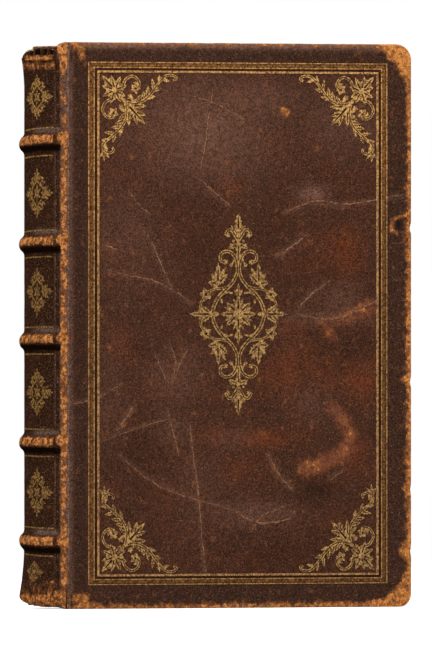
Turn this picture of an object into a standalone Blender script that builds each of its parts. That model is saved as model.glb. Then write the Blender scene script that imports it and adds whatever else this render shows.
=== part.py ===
# An old book in full dark leather, standing upright on its tail edge.
# Its sections are sewn on five raised cords, the spine is rounded and backed, and
# two laced-on boards swing on leather joints. Gilt tooling covers the front and spine.
# Axes: +Z runs from tail to head, +X from spine to fore-edge, -Y is the front cover.
# The origin is the middle of the ground that the whole book covers.

import math

import bmesh
import bpy
from mathutils import Matrix, Vector
from mathutils.geometry import delaunay_2d_cdt

# Covers
COVER_HEIGHT = 0.230
COVER_WIDTH = 0.159
LEATHER_THICKNESS = 0.0008
BOARD_THICKNESS = 0.0023
TURN_IN_THICKNESS = 0.0006
TURN_IN_WIDTH = 0.015
CORNER_RADIUS = 0.0042
COVER_EDGE_ROUND = 0.0007
PASTEDOWN_THICKNESS = 0.0002
PASTEDOWN_MARGIN = 0.004

# Text block
BLOCK_THICKNESS = 0.0204
SECTION_COUNT = 8
FLYLEAF_THICKNESS = 0.0002
HEAD_SQUARE = 0.003
FORE_SQUARE = 0.004
FORE_EDGE_HOLLOW = 0.003
FOLD_ROUND = 0.0004

# Spine
SPINE_RADIUS = 0.045
SPINE_LEATHER = 0.0009
RIDGE_ROUND = 0.0022
JOINT_DEPTH = 0.0006
JOINT_FLAT = 0.0009
SPINE_DROP_AT_HEAD = 0.0016
LINING_THICKNESS = 0.0004
CORD_RADIUS = 0.0011
ENDBAND_RADIUS = 0.0006

# Raised bands and caps of the spine
BAND_HEIGHT = 0.0019
BAND_WIDTH = 0.0062
CAP_BULGE = 0.0011
CAP_ROUND = 0.0022
CAP_DEPTH = 0.003
CAP_REACH = 0.0065
WORN_HOLLOW_DEPTH = 0.0005
WORN_HOLLOW_HEIGHT = 0.0022

# Gilt tooling
GILT_THICKNESS = 0.00012
GILT_LIFT = 0.00004
SPINE_GILT_LIFT = 0.00006
OUTER_FRAME_WIDTH = 0.0026
INNER_FRAME_WIDTH = 0.0009
FRAME_GAP = 0.0011
FRAME_TO_JOINT = 0.0096
FRAME_TO_FORE_EDGE = 0.0115
FRAME_TO_HEAD = 0.0080
FRAME_TO_TAIL = 0.0097
CORNER_ORNAMENT = 0.0361
CENTRE_ORNAMENT_HEIGHT = 0.0823
CENTRE_ORNAMENT_WIDTH = 0.0440
CENTRE_ORNAMENT_RISE = 0.0035
SPINE_LINE_WIDTH = 0.0006
SPINE_LINE_OFFSET = 0.0055
SPINE_LINE_MARGIN = 0.0010

# Clearances: between pieces that move or are moulded, and between glued layers
FIT = 0.0003
GLUE_LINE = 0.0001
OVERRUN = 0.002
DRAWING_TOLERANCE = 0.000001

# Heights of the five bands, as shares of the cover's height
BAND_SHARES = (0.1195, 0.293, 0.472, 0.643, 0.820)
# Heights of the six spine ornaments, as shares of the panels between the bands
PANEL_FILL_SHARES = (0.72, 0.69, 0.66, 0.70, 0.69, 0.75)
# Their widths, as shares of the rounded back: the lowest panel is short and takes a small tool
PANEL_WIDTH_SHARES = (0.46, 0.82, 0.82, 0.82, 0.82, 0.80)

CORNER_STEPS = 5
EDGE_STEPS = 2
ARC_STEPS = 10
RIDGE_STEPS = 4
CORD_SIDES = 6

# Depths and places that follow from the sizes above
COVER_THICKNESS = LEATHER_THICKNESS + BOARD_THICKNESS + TURN_IN_THICKNESS + 2 * GLUE_LINE
LEAF_STACK = FLYLEAF_THICKNESS + PASTEDOWN_THICKNESS + 2 * GLUE_LINE + FIT
HALF_BOOK = BLOCK_THICKNESS / 2 + LEAF_STACK + COVER_THICKNESS
COVER_INNER = HALF_BOOK - COVER_THICKNESS

RIDGE_ANGLE = math.asin((HALF_BOOK - RIDGE_ROUND) / (SPINE_RADIUS - RIDGE_ROUND))
GROOVE_ANGLE = math.acos(1 - JOINT_DEPTH / RIDGE_ROUND)
RIDGE_TO_JOINT = RIDGE_ROUND * math.sin(GROOVE_ANGLE) + JOINT_FLAT + FIT
RIDGE_TO_CENTRE = (SPINE_RADIUS - RIDGE_ROUND) * math.cos(RIDGE_ANGLE)
SPINE_BULGE = SPINE_RADIUS + BAND_HEIGHT - RIDGE_TO_CENTRE

BOOK_DEPTH = SPINE_BULGE + RIDGE_TO_JOINT + COVER_WIDTH
FORE_EDGE_X = BOOK_DEPTH / 2
JOINT_X = FORE_EDGE_X - COVER_WIDTH
RIDGE_X = JOINT_X - RIDGE_TO_JOINT
SPINE_CENTRE_X = RIDGE_X + RIDGE_TO_CENTRE
HINGE_X = JOINT_X - FIT / 2
HINGE_Y = HALF_BOOK + FIT / 2

FRAME_LEFT = JOINT_X + FRAME_TO_JOINT
FRAME_RIGHT = FORE_EDGE_X - FRAME_TO_FORE_EDGE
FRAME_LOW = FRAME_TO_TAIL
FRAME_HIGH = COVER_HEIGHT - FRAME_TO_HEAD
FRAME_DEPTH = OUTER_FRAME_WIDTH + FRAME_GAP + INNER_FRAME_WIDTH

BLOCK_RADIUS = SPINE_RADIUS - SPINE_LEATHER - LINING_THICKNESS - 2 * FIT
BLOCK_TAIL = HEAD_SQUARE
BLOCK_HEAD = COVER_HEIGHT - HEAD_SQUARE
BLOCK_FORE_X = FORE_EDGE_X - FORE_SQUARE
SHOULDER_Y = HALF_BOOK - SPINE_LEATHER - FIT
SHOULDER_START_X = JOINT_X - FIT
SHOULDER_END_X = RIDGE_X
SPINE_TOP = COVER_HEIGHT - SPINE_DROP_AT_HEAD

LEATHER = ("leather", (0.055, 0.024, 0.014), 0.5, 0.0)
GILT = ("gilt", (0.62, 0.38, 0.12), 0.4, 0.8)
PAPER = ("paper", (0.72, 0.60, 0.42), 0.9, 0.0)
PASTEBOARD = ("pasteboard", (0.42, 0.34, 0.24), 0.95, 0.0)
HEMP = ("hemp", (0.50, 0.38, 0.22), 0.9, 0.0)
SILK = ("silk", (0.36, 0.22, 0.12), 0.7, 0.0)


def clear_scene():
    for item in list(bpy.data.objects):
        bpy.data.objects.remove(item, do_unlink=True)


def material(finish):
    name, colour, roughness, metallic = finish
    found = bpy.data.materials.get(name)
    if found:
        return found
    made = bpy.data.materials.new(name)
    made.use_nodes = True
    shader = made.node_tree.nodes["Principled BSDF"]
    shader.inputs["Base Color"].default_value = (*colour, 1.0)
    shader.inputs["Roughness"].default_value = roughness
    shader.inputs["Metallic"].default_value = metallic
    return made


def hinge(name, side):
    empty = bpy.data.objects.new(name, None)
    empty.location = (HINGE_X, side * HINGE_Y, 0)
    bpy.context.scene.collection.objects.link(empty)
    return empty


def piece(name, verts, faces, finish, carrier=None, smooth=None):
    # A closed solid in book coordinates, kept on its carrier's axis when it has one
    mesh = bpy.data.meshes.new(name)
    mesh.from_pydata([Vector(v) for v in verts], [], faces)
    body = bmesh.new()
    body.from_mesh(mesh)
    bmesh.ops.recalc_face_normals(body, faces=body.faces)
    body.to_mesh(mesh)
    body.free()
    if carrier:
        mesh.transform(Matrix.Translation(-carrier.location))
    if smooth:
        mesh.shade_smooth()
        mesh.set_sharp_from_angle(angle=smooth)
    mesh.materials.append(material(finish))
    made = bpy.data.objects.new(name, mesh)
    made.parent = carrier
    bpy.context.scene.collection.objects.link(made)
    return made


def cutter(name, verts, faces, carrier):
    made = piece(name, verts, faces, PASTEBOARD, carrier)
    made.hide_render = True
    made.display_type = "WIRE"
    return made


def cut(target, tool):
    step = target.modifiers.new("cut " + tool.name, "BOOLEAN")
    step.operation = "DIFFERENCE"
    step.solver = "EXACT"
    step.object = tool


def loft(rings):
    # Side faces between equal rings, closed by a face at each end
    count = len(rings[0])
    verts = [point for ring in rings for point in ring]
    faces = [list(range(count)), list(range(len(verts) - count, len(verts)))]
    for level in range(len(rings) - 1):
        low = level * count
        for k in range(count):
            after = (k + 1) % count
            faces.append((low + k, low + after, low + count + after, low + count + k))
    return verts, faces


def plate_outline(left, right, low, high, radius):
    # A rectangle in X and Z whose two right corners are rounded
    points = [(left, low)]
    for centre, start in (((right - radius, low + radius), -90), ((right - radius, high - radius), 0)):
        for step in range(CORNER_STEPS + 1):
            angle = math.radians(start + 90 * step / CORNER_STEPS)
            points.append((centre[0] + radius * math.cos(angle), centre[1] + radius * math.sin(angle)))
    points.append((left, high))
    return points


def plate(outline, near, far):
    return loft([[(x, near, z) for x, z in outline], [(x, far, z) for x, z in outline]])


def cover_ring(inset, y):
    outline = plate_outline(
        JOINT_X + inset, FORE_EDGE_X - inset, inset, COVER_HEIGHT - inset, CORNER_RADIUS - inset)
    return [(x, y, z) for x, z in outline]


def cover_leather(name, side, carrier):
    # The skin of one cover: outer face, three turned edges and the turn-ins behind
    rings = []
    for step in range(EDGE_STEPS + 1):
        angle = math.radians(90 * step / EDGE_STEPS)
        inset = COVER_EDGE_ROUND * (1 - math.sin(angle))
        rings.append((inset, HALF_BOOK - COVER_EDGE_ROUND * (1 - math.cos(angle))))
    for step in range(EDGE_STEPS + 1):
        angle = math.radians(90 * step / EDGE_STEPS)
        inset = COVER_EDGE_ROUND * (1 - math.cos(angle))
        rings.append((inset, COVER_INNER + COVER_EDGE_ROUND * (1 - math.sin(angle))))
    verts, faces = loft([cover_ring(inset, side * y) for inset, y in rings])
    leather = piece(name, verts, faces, LEATHER, carrier)

    wall = LEATHER_THICKNESS
    pocket = plate_outline(
        JOINT_X - OVERRUN, FORE_EDGE_X - wall, wall, COVER_HEIGHT - wall, CORNER_RADIUS - wall)
    pocket_inner = COVER_INNER + TURN_IN_THICKNESS
    verts, faces = plate(pocket, side * (HALF_BOOK - wall), side * pocket_inner)
    cut(leather, cutter(name + "_pocket", verts, faces, carrier))

    window = plate_outline(
        JOINT_X - OVERRUN, FORE_EDGE_X - TURN_IN_WIDTH, TURN_IN_WIDTH, COVER_HEIGHT - TURN_IN_WIDTH,
        CORNER_RADIUS)
    verts, faces = plate(window, side * (pocket_inner + BOARD_THICKNESS / 2), side * (COVER_INNER - OVERRUN))
    cut(leather, cutter(name + "_window", verts, faces, carrier))


def cover_board(name, side, carrier):
    # Pasteboard with its rim pared, so that the turn-ins lie flush round the raised middle
    wall = LEATHER_THICKNESS + FIT
    rim = plate_outline(
        JOINT_X, FORE_EDGE_X - wall, wall, COVER_HEIGHT - wall, CORNER_RADIUS - wall)
    reach = TURN_IN_WIDTH + FIT
    middle = plate_outline(
        JOINT_X, FORE_EDGE_X - reach, reach, COVER_HEIGHT - reach, CORNER_RADIUS)
    outer = HALF_BOOK - LEATHER_THICKNESS - GLUE_LINE
    shelf = outer - BOARD_THICKNESS
    rings = [(rim, outer), (rim, shelf), (middle, shelf), (middle, COVER_INNER)]
    verts, faces = loft([[(x, side * y, z) for x, z in outline] for outline, y in rings])
    piece(name, verts, faces, PASTEBOARD, carrier)


def pastedown(name, side, carrier):
    outline = plate_outline(
        JOINT_X, FORE_EDGE_X - PASTEDOWN_MARGIN, PASTEDOWN_MARGIN, COVER_HEIGHT - PASTEDOWN_MARGIN,
        COVER_EDGE_ROUND)
    outer = COVER_INNER - GLUE_LINE
    verts, faces = plate(outline, side * outer, side * (outer - PASTEDOWN_THICKNESS))
    piece(name, verts, faces, PAPER, carrier)


def smooth_step(share):
    share = min(max(share, 0.0), 1.0)
    return share * share * (3 - 2 * share)


def fan(x):
    # How far backing has spread the sections at this distance from the joint
    run = SHOULDER_START_X - SHOULDER_END_X
    spread = SHOULDER_Y / (BLOCK_THICKNESS / 2)
    return 1 + (spread - 1) * smooth_step((SHOULDER_START_X - x) / run)


def block_spine_x(y):
    return SPINE_CENTRE_X - math.sqrt(BLOCK_RADIUS ** 2 - y ** 2)


def fore_edge_x(y):
    half = BLOCK_THICKNESS / 2
    return BLOCK_FORE_X - FORE_EDGE_HOLLOW * (1 - (y / half) ** 2)


def section_side(flat_y, shift, shoulder_shares=(0, 0.2, 0.4, 0.6, 0.8, 1)):
    # One face of a section, from the fore-edge to the start of its folded back
    points = [(fore_edge_x(flat_y), flat_y + shift)]
    run = SHOULDER_START_X - SHOULDER_END_X
    for share in shoulder_shares:
        x = SHOULDER_START_X - run * share
        points.append((x, flat_y * fan(x) + shift))
    return points


def section(name, low_y, high_y):
    gap = GLUE_LINE / 2
    low = section_side(low_y, gap)
    high = section_side(high_y, -gap)
    spread = fan(SHOULDER_END_X)
    back = []
    for share, lift in ((0, -1), (0.25, 0), (0.75, 0), (1, -1)):
        y = (low_y + gap + (high_y - low_y - 2 * gap) * share) * spread
        y = min(max(y, low[-1][1]), high[-1][1])
        back.append((block_spine_x(y) - lift * FOLD_ROUND, y))
    middle_y = (low_y + high_y) / 2
    outline = low + back + high[::-1] + [(fore_edge_x(middle_y), middle_y)]
    verts, faces = loft([[(x, y, z) for x, y in outline] for z in (BLOCK_TAIL, BLOCK_HEAD)])
    piece(name, verts, faces, PAPER)


def flyleaf(name, side):
    near = BLOCK_THICKNESS / 2 + GLUE_LINE
    outline = plate_outline(SHOULDER_START_X, BLOCK_FORE_X, BLOCK_TAIL, BLOCK_HEAD, COVER_EDGE_ROUND)
    verts, faces = plate(outline, side * near, side * (near + FLYLEAF_THICKNESS))
    piece(name, verts, faces, PAPER)


def spine_point(radius, angle, z):
    return (SPINE_CENTRE_X - radius * math.cos(angle), radius * math.sin(angle), z)


def arc_angles(half, steps=ARC_STEPS):
    return [half * (2 * step / steps - 1) for step in range(steps + 1)]


def lining(name, low, high):
    # Paper pasted on the back of the sections, between two cords
    half = RIDGE_ANGLE - FIT / SPINE_RADIUS
    inner = BLOCK_RADIUS + FIT
    outer = inner + LINING_THICKNESS
    rings = []
    for angle in arc_angles(half):
        rings.append([spine_point(radius, angle, z)
                      for radius, z in ((inner, low), (outer, low), (outer, high), (inner, high))])
    verts, faces = loft(rings)
    piece(name, verts, faces, PAPER)


def bent_cord(name, radius, centre_radius, height, half, finish):
    rings = []
    for angle in arc_angles(half):
        ring = []
        for side in range(CORD_SIDES):
            turn = math.tau * side / CORD_SIDES
            ring.append(spine_point(centre_radius + radius * math.cos(turn), angle,
                                    height + radius * math.sin(turn)))
        rings.append(ring)
    verts, faces = loft(rings)
    piece(name, verts, faces, finish, smooth=math.radians(60))


# One half of the spine leather's plan: each station is a place and the way it faces.
def half_stations():
    ridge_y = HALF_BOOK - RIDGE_ROUND
    groove_y = HALF_BOOK - JOINT_DEPTH
    stations = [((JOINT_X - FIT, groove_y), 90)]
    groove = math.degrees(GROOVE_ANGLE)
    ridge = math.degrees(RIDGE_ANGLE)
    for step in range(RIDGE_STEPS):
        turn = 90 + groove - (90 + groove - ridge) * step / RIDGE_STEPS
        facing = math.radians(turn)
        point = (RIDGE_X - RIDGE_ROUND * math.cos(facing), ridge_y + RIDGE_ROUND * math.sin(facing))
        stations.append((point, turn if step else 90 + groove / 2))
    for step in range(ARC_STEPS // 2 + 1):
        turn = ridge * (1 - 2 * step / ARC_STEPS)
        x, y, z = spine_point(SPINE_RADIUS, math.radians(turn), 0)
        stations.append(((x, y), turn))
    return stations


def spine_stations():
    back = half_stations()
    front = [((x, -y), -turn) for (x, y), turn in back]
    return front + back[-2::-1]


def raise_limit(turn):
    # The bands are rubbed level with the covers, so they stop at the covers' plane
    lean = abs(math.sin(math.radians(turn)))
    if lean < math.sin(RIDGE_ANGLE):
        return BAND_HEIGHT
    if abs(turn) > 90:
        return 0
    return min(BAND_HEIGHT, RIDGE_ROUND * (1 / lean - 1))


def cap_turn_in(turn):
    # The cap closes over the block's end along the back, and not on the ridges beside it
    past_ridge = (abs(turn) - math.degrees(RIDGE_ANGLE)) / (90 - math.degrees(RIDGE_ANGLE))
    return (1 - min(max(past_ridge, 0), 1)) ** 2


def band_raise(z):
    lift = 0
    for share in BAND_SHARES:
        offset = abs(z - COVER_HEIGHT * share) / (BAND_WIDTH / 2)
        if offset < 1:
            lift = BAND_HEIGHT * math.sqrt(1 - offset ** 2)
    return lift


def cap_raise(distance):
    # Out over the endband, then in over the end of the block
    if distance < CAP_DEPTH:
        share = 1 - distance / CAP_DEPTH
        return CAP_BULGE - (CAP_BULGE + CAP_ROUND) * (1 - math.sqrt(1 - share ** 2))
    return CAP_BULGE * (1 - smooth_step((distance - CAP_DEPTH) / CAP_REACH))


def spine_raise(z, turn, outside):
    near_end = min(z, SPINE_TOP - z)
    lift = cap_raise(near_end) if near_end < CAP_DEPTH + CAP_REACH else band_raise(z)
    lift = min(lift, raise_limit(turn)) if lift > 0 else lift * cap_turn_in(turn)
    hollow_low = SPINE_TOP - CAP_DEPTH * 0.4 - WORN_HOLLOW_HEIGHT
    in_hollow = hollow_low < z < hollow_low + WORN_HOLLOW_HEIGHT
    if outside and in_hollow and abs(turn) < math.degrees(RIDGE_ANGLE) * 0.9:
        lift -= WORN_HOLLOW_DEPTH
    return lift


def spine_levels():
    cap_shares = (0, 0.1, 0.35, 0.7, 1)
    levels = [CAP_DEPTH * share for share in cap_shares]
    levels += [CAP_DEPTH + CAP_REACH / 2, CAP_DEPTH + CAP_REACH]
    levels += [SPINE_TOP - z for z in levels]
    hollow_low = SPINE_TOP - CAP_DEPTH * 0.4 - WORN_HOLLOW_HEIGHT
    levels += [hollow_low, hollow_low + WORN_HOLLOW_HEIGHT]
    for share in BAND_SHARES:
        for offset in (-1, -0.85, -0.4, 0.4, 0.85, 1):
            levels.append(COVER_HEIGHT * share + offset * BAND_WIDTH / 2)
    return sorted(levels)


def spine_leather():
    # One skin moulded over the cords, the shoulders and the two endbands
    stations = spine_stations()
    levels = spine_levels()
    across = len(stations)
    verts = []
    for depth in (0, SPINE_LEATHER):
        for z in levels:
            for (x, y), turn in stations:
                facing = math.radians(turn)
                out = spine_raise(z, turn, depth == 0) - depth
                verts.append((x - out * math.cos(facing), y + out * math.sin(facing), z))
    skin = len(levels) * across
    faces = []
    for row in range(len(levels) - 1):
        for k in range(across - 1):
            a = row * across + k
            quad = (a, a + 1, a + across + 1, a + across)
            faces.append(quad)
            faces.append(tuple(skin + v for v in quad[::-1]))
        for k in (0, across - 1):
            a = row * across + k
            faces.append((a, a + across, skin + a + across, skin + a))
    for row in (0, len(levels) - 1):
        for k in range(across - 1):
            a = row * across + k
            faces.append((a, a + 1, skin + a + 1, skin + a))
    piece("spine_leather", verts, faces, LEATHER, smooth=math.radians(50))


# Drawings of the finishing tools. A place is a share of the tool's width and of its height.
# A leaf is its foot, its tip and its width, which is a share of the tool's width.
CENTRE_STRAP_SHARES = (
    (0.267, 0), (0.250, 0.037), (0.217, 0.071), (0.165, 0.104), (0.097, 0.135), (0.044, 0.167),
    (0.016, 0.2), (0.010, 0.232), (0.021, 0.263), (0.044, 0.289), (0.089, 0.307), (0.142, 0.308),
    (0.184, 0.289), (0.176, 0.262), (0.130, 0.256))
CENTRE_TENDRIL_SHARES = (
    (0.097, 0.135), (0.165, 0.127), (0.25, 0.122), (0.33, 0.097), (0.387, 0.045), (0.36, 0))
CENTRE_HOOK_SHARES = ((0, 0.364), (0.037, 0.391), (0.062, 0.411), (0.1, 0.415), (0.134, 0.388))
CENTRE_LEAF_SHARES = (
    ((0, 0.4), (0, 0.5), 0.08),
    ((0, 0.34), (0, 0.42), 0.05),
    ((0, 0.39), (0.073, 0.438), 0.04),
    ((0, 0.345), (0.104, 0.324), 0.05),
    ((0, 0.36), (0, 0.24), 0.05),
    ((0.2, 0.12), (0.21, 0.249), 0.08),
    ((0.205, 0.15), (0.108, 0.203), 0.07),
    ((0.205, 0.15), (0.3, 0.168), 0.07),
    ((0.25, 0), (0.5, 0), 0.09),
    ((0.28, 0), (0.395, 0.048), 0.06),
    ((0, 0.07), (0, 0.153), 0.05),
    ((0, 0), (0, 0.091), 0.09),
    ((0, 0), (0.125, 0.058), 0.1),
    ((0, 0), (0.184, 0), 0.08),
    ((0, 0), (0.3, 0), 0.03))
CENTRE_FLOWER_SHARES = ((0.33, 0.097), 0.05)
CENTRE_STRAP_WIDTH_SHARE = 0.03
CENTRE_TENDRIL_WIDTH_SHARE = 0.022

# Two stems leave the corner's rosette. The one along the head ends in a small curl, and the one
# along the side in a volute with a tail. The rest is the same on both sides of the diagonal.
CORNER_STEM_SHARES = ((0.34, 0.33), (0.44, 0.35), (0.54, 0.327), (0.62, 0.272), (0.695, 0.19), (0.755, 0.11))
CORNER_CURL_SHARES = ((0.755, 0.11), (0.82, 0.05), (0.88, 0.026), (0.95, 0.034), (0.98, 0.063), (0.94, 0.085))
CORNER_VOLUTE_SHARES = (
    (0.11, 0.755), (0.052, 0.8), (0.05, 0.865), (0.115, 0.905), (0.18, 0.88), (0.165, 0.845))
CORNER_ARCH_SHARES = ((0.29, 0.2), (0.325, 0.09), (0.41, 0.04), (0.482, 0.073), (0.511, 0.14), (0.458, 0.183))
CORNER_LEAF_SHARES = (
    ((0.45, 0.35), (0.52, 0.25), 0.05),
    ((0.54, 0.33), (0.57, 0.2), 0.06),
    ((0.61, 0.28), (0.62, 0.15), 0.06),
    ((0.69, 0.2), (0.67, 0.06), 0.05),
    ((0.6, 0.29), (0.72, 0.26), 0.05),
    ((0.69, 0.2), (0.79, 0.17), 0.05),
    ((0.4, 0.36), (0.6, 0.365), 0.06),
    ((0.44, 0.44), (0.59, 0.47), 0.06),
    ((0.195, 0.195), (0.03, 0.15), 0.1),
    ((0.195, 0.195), (0.04, 0.27), 0.1),
    ((0.195, 0.195), (0.14, 0.35), 0.1),
    ((0.195, 0.195), (0.27, 0.33), 0.1))
CORNER_MIDDLE_LEAF_SHARES = (
    ((0.195, 0.195), (0.03, 0.03), 0.12),
    ((0.2, 0.2), (0.4, 0.4), 0.05),
    ((0.33, 0.33), (0.6, 0.6), 0.09),
    ((0.05, 0.86), (0.064, 1), 0.05))
CORNER_FLOWER_SHARES = ((0.458, 0.183), 0.055)
CORNER_STEM_WIDTH_SHARE = 0.034

SPINE_STRAP_SHARES = ((0.22, 0), (0.19, 0.1), (0.1, 0.2), (0, 0.28))
SPINE_LEAF_SHARES = (
    ((0, 0.1), (0, 0.5), 0.13),
    ((0.08, 0.18), (0.22, 0.26), 0.11),
    ((0.18, 0), (0.33, 0.11), 0.1),
    ((0, 0), (0.5, 0), 0.12),
    ((0, 0), (0, 0.2), 0.1))
SPINE_STRAP_WIDTH_SHARE = 0.05

# A leaf's outline: how far along it is widest, and how wide its foot is
LEAF_WIDEST_SHARE = 0.45
LEAF_FOOT_SHARE = 0.25
FLOWER_SIDES = 6


def leaf(foot, tip, width):
    along = tip - foot
    across = Vector((-along.y, along.x)).normalized() * width / 2
    belly = foot + along * LEAF_WIDEST_SHARE
    heel = across * LEAF_FOOT_SHARE
    return [foot - heel, belly - across, tip, belly + across, foot + heel]


def ribbon(path, width):
    left, right = [], []
    for k, point in enumerate(path):
        along = path[min(k + 1, len(path) - 1)] - path[max(k - 1, 0)]
        across = Vector((-along.y, along.x)).normalized() * width / 2
        left.append(point + across)
        right.append(point - across)
    return right + left[::-1]


def disc(centre, radius, sides):
    turns = [math.tau * step / sides for step in range(sides)]
    return [centre + radius * Vector((math.cos(turn), math.sin(turn))) for turn in turns]


def drawn(width, height, leaves=(), ribbons=(), flower=None):
    # The shapes of one tool at their real size
    def at(place):
        return Vector((place[0] * width, place[1] * height))
    shapes = [leaf(at(foot), at(tip), share * width) for foot, tip, share in leaves]
    shapes += [ribbon([at(place) for place in path], share * width) for path, share in ribbons]
    if flower:
        centre, radius_share = flower
        shapes.append(disc(at(centre), radius_share * width, FLOWER_SIDES))
    return shapes


def mirrored(shapes, flip):
    return shapes + [[Vector(flip(*point)) for point in shape][::-1] for shape in shapes]


def across_axis(u, v):
    return (-u, v)


def across_middle(u, v):
    return (u, -v)


def across_diagonal(u, v):
    return (v, u)


def corner_ornament():
    # Acanthus stems that spring from a rosette in the corner and run along both sides
    size = CORNER_ORNAMENT
    ribbons = [(CORNER_STEM_SHARES, CORNER_STEM_WIDTH_SHARE), (CORNER_ARCH_SHARES, CORNER_STEM_WIDTH_SHARE)]
    arm = drawn(size, size, CORNER_LEAF_SHARES, ribbons, CORNER_FLOWER_SHARES)
    ends = [(CORNER_CURL_SHARES, CORNER_STEM_WIDTH_SHARE), (CORNER_VOLUTE_SHARES, CORNER_STEM_WIDTH_SHARE)]
    return mirrored(arm, across_diagonal) + drawn(size, size, CORNER_MIDDLE_LEAF_SHARES, ends)


def centre_ornament():
    # A lozenge of strapwork: an oval with a rosette inside, and leaves and fleurs round it
    ribbons = [(CENTRE_STRAP_SHARES, CENTRE_STRAP_WIDTH_SHARE),
               (CENTRE_TENDRIL_SHARES, CENTRE_TENDRIL_WIDTH_SHARE),
               (CENTRE_HOOK_SHARES, CENTRE_STRAP_WIDTH_SHARE)]
    quarter = drawn(CENTRE_ORNAMENT_WIDTH, CENTRE_ORNAMENT_HEIGHT, CENTRE_LEAF_SHARES, ribbons,
                    CENTRE_FLOWER_SHARES)
    return mirrored(mirrored(quarter, across_axis), across_middle)


def spine_ornament(width, height):
    quarter = drawn(width, height, SPINE_LEAF_SHARES, [(SPINE_STRAP_SHARES, SPINE_STRAP_WIDTH_SHARE)])
    return mirrored(mirrored(quarter, across_axis), across_middle)


def struck(name, shapes, place, guides=(), carrier=None):
    # The union of the drawn shapes, given the thickness of the gold and put in its place
    corners = [Vector(point) for shape in shapes for point in shape]
    outlines = []
    for shape in shapes:
        first = sum(len(outline) for outline in outlines)
        outlines.append(list(range(first, first + len(shape))))
    edges = []
    for guide in guides:
        edges.append((len(corners), len(corners) + 1))
        corners += [Vector(point) for point in guide]
    points, _, parts, _, _, owners = delaunay_2d_cdt(corners, edges, outlines, 0, DRAWING_TOLERANCE)
    kept = [part for part, owner in zip(parts, owners) if owner]
    used = sorted({k for part in kept for k in part})
    place_of = {k: row for row, k in enumerate(used)}
    kept = [[place_of[k] for k in part] for part in kept]
    sides = {}
    for part in kept:
        for k, first in enumerate(part):
            second = part[(k + 1) % len(part)]
            sides[(first, second)] = (second, first) not in sides
            if not sides[(first, second)]:
                sides[(second, first)] = False
    verts = [place(*points[k], 0) for k in used] + [place(*points[k], 1) for k in used]
    top = len(used)
    faces = [part[::-1] for part in kept] + [[top + k for k in part] for part in kept]
    for (first, second), open_side in sides.items():
        if open_side:
            faces.append((first, second, top + second, top + first))
    piece(name, verts, faces, GILT, carrier)


def gilt_depth(level):
    return HALF_BOOK + GILT_LIFT + GILT_THICKNESS * level


def frame_line(name, inset, width, side, carrier):
    # A mitred line of gold round the cover
    rings = []
    for depth, level in ((inset, 0), (inset, 1), (inset + width, 1), (inset + width, 0)):
        y = side * gilt_depth(level)
        left, right = FRAME_LEFT + depth, FRAME_RIGHT - depth
        low, high = FRAME_LOW + depth, FRAME_HIGH - depth
        rings.append([(left, y, low), (right, y, low), (right, y, high), (left, y, high)])
    verts = [point for ring in rings for point in ring]
    faces = []
    for ring in range(4):
        after = (ring + 1) % 4
        for k in range(4):
            then = (k + 1) % 4
            faces.append((4 * ring + k, 4 * ring + then, 4 * after + then, 4 * after + k))
    piece(name, verts, faces, GILT, carrier)


def cover_tooling(carrier):
    sides = {"spine": (FRAME_LEFT + FRAME_DEPTH, 1), "fore": (FRAME_RIGHT - FRAME_DEPTH, -1)}
    ends = {"head": (FRAME_HIGH - FRAME_DEPTH, -1), "tail": (FRAME_LOW + FRAME_DEPTH, 1)}
    for end, (corner_z, up) in ends.items():
        for side, (corner_x, right) in sides.items():
            def place(u, v, level, corner_x=corner_x, corner_z=corner_z, right=right, up=up):
                return (corner_x + right * u, -gilt_depth(level), corner_z + up * v)
            struck(f"gilt_corner_{end}_{side}", corner_ornament(), place, carrier=carrier)

    middle_x = (FRAME_LEFT + FRAME_RIGHT) / 2
    middle_z = (FRAME_LOW + FRAME_HIGH) / 2 + CENTRE_ORNAMENT_RISE

    def place_centre(u, v, level):
        return (middle_x + u, -gilt_depth(level), middle_z + v)
    struck("gilt_centre", centre_ornament(), place_centre, carrier=carrier)


def frames(name, side, carrier):
    frame_line(name + "_outer_fillet", 0, OUTER_FRAME_WIDTH, side, carrier)
    frame_line(name + "_inner_fillet", OUTER_FRAME_WIDTH + FRAME_GAP, INNER_FRAME_WIDTH, side, carrier)


def spine_panels():
    # Lowest and highest place of the tooling between the bands, and between bands and caps
    bands = [COVER_HEIGHT * share for share in BAND_SHARES]
    lows = [CAP_DEPTH + CAP_REACH] + [band + SPINE_LINE_OFFSET for band in bands]
    highs = [band - SPINE_LINE_OFFSET for band in bands] + [SPINE_TOP - CAP_DEPTH - CAP_REACH]
    return list(zip(lows, highs))


def spine_fleuron(name, middle, width, height):
    # Cut along the facets of the rounded back, so that the gold lies flat on each of them
    facet = SPINE_RADIUS * 2 * RIDGE_ANGLE / ARC_STEPS
    guides = []
    for k in range(-ARC_STEPS // 2, ARC_STEPS // 2 + 1):
        if abs(k * facet) < width / 2:
            guides.append(((k * facet, -height / 2), (k * facet, height / 2)))

    def place(u, v, level):
        radius = SPINE_RADIUS + SPINE_GILT_LIFT + GILT_THICKNESS * level
        return spine_point(radius, u / SPINE_RADIUS, middle + v)
    struck(name, spine_ornament(width, height), place, guides)


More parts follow.
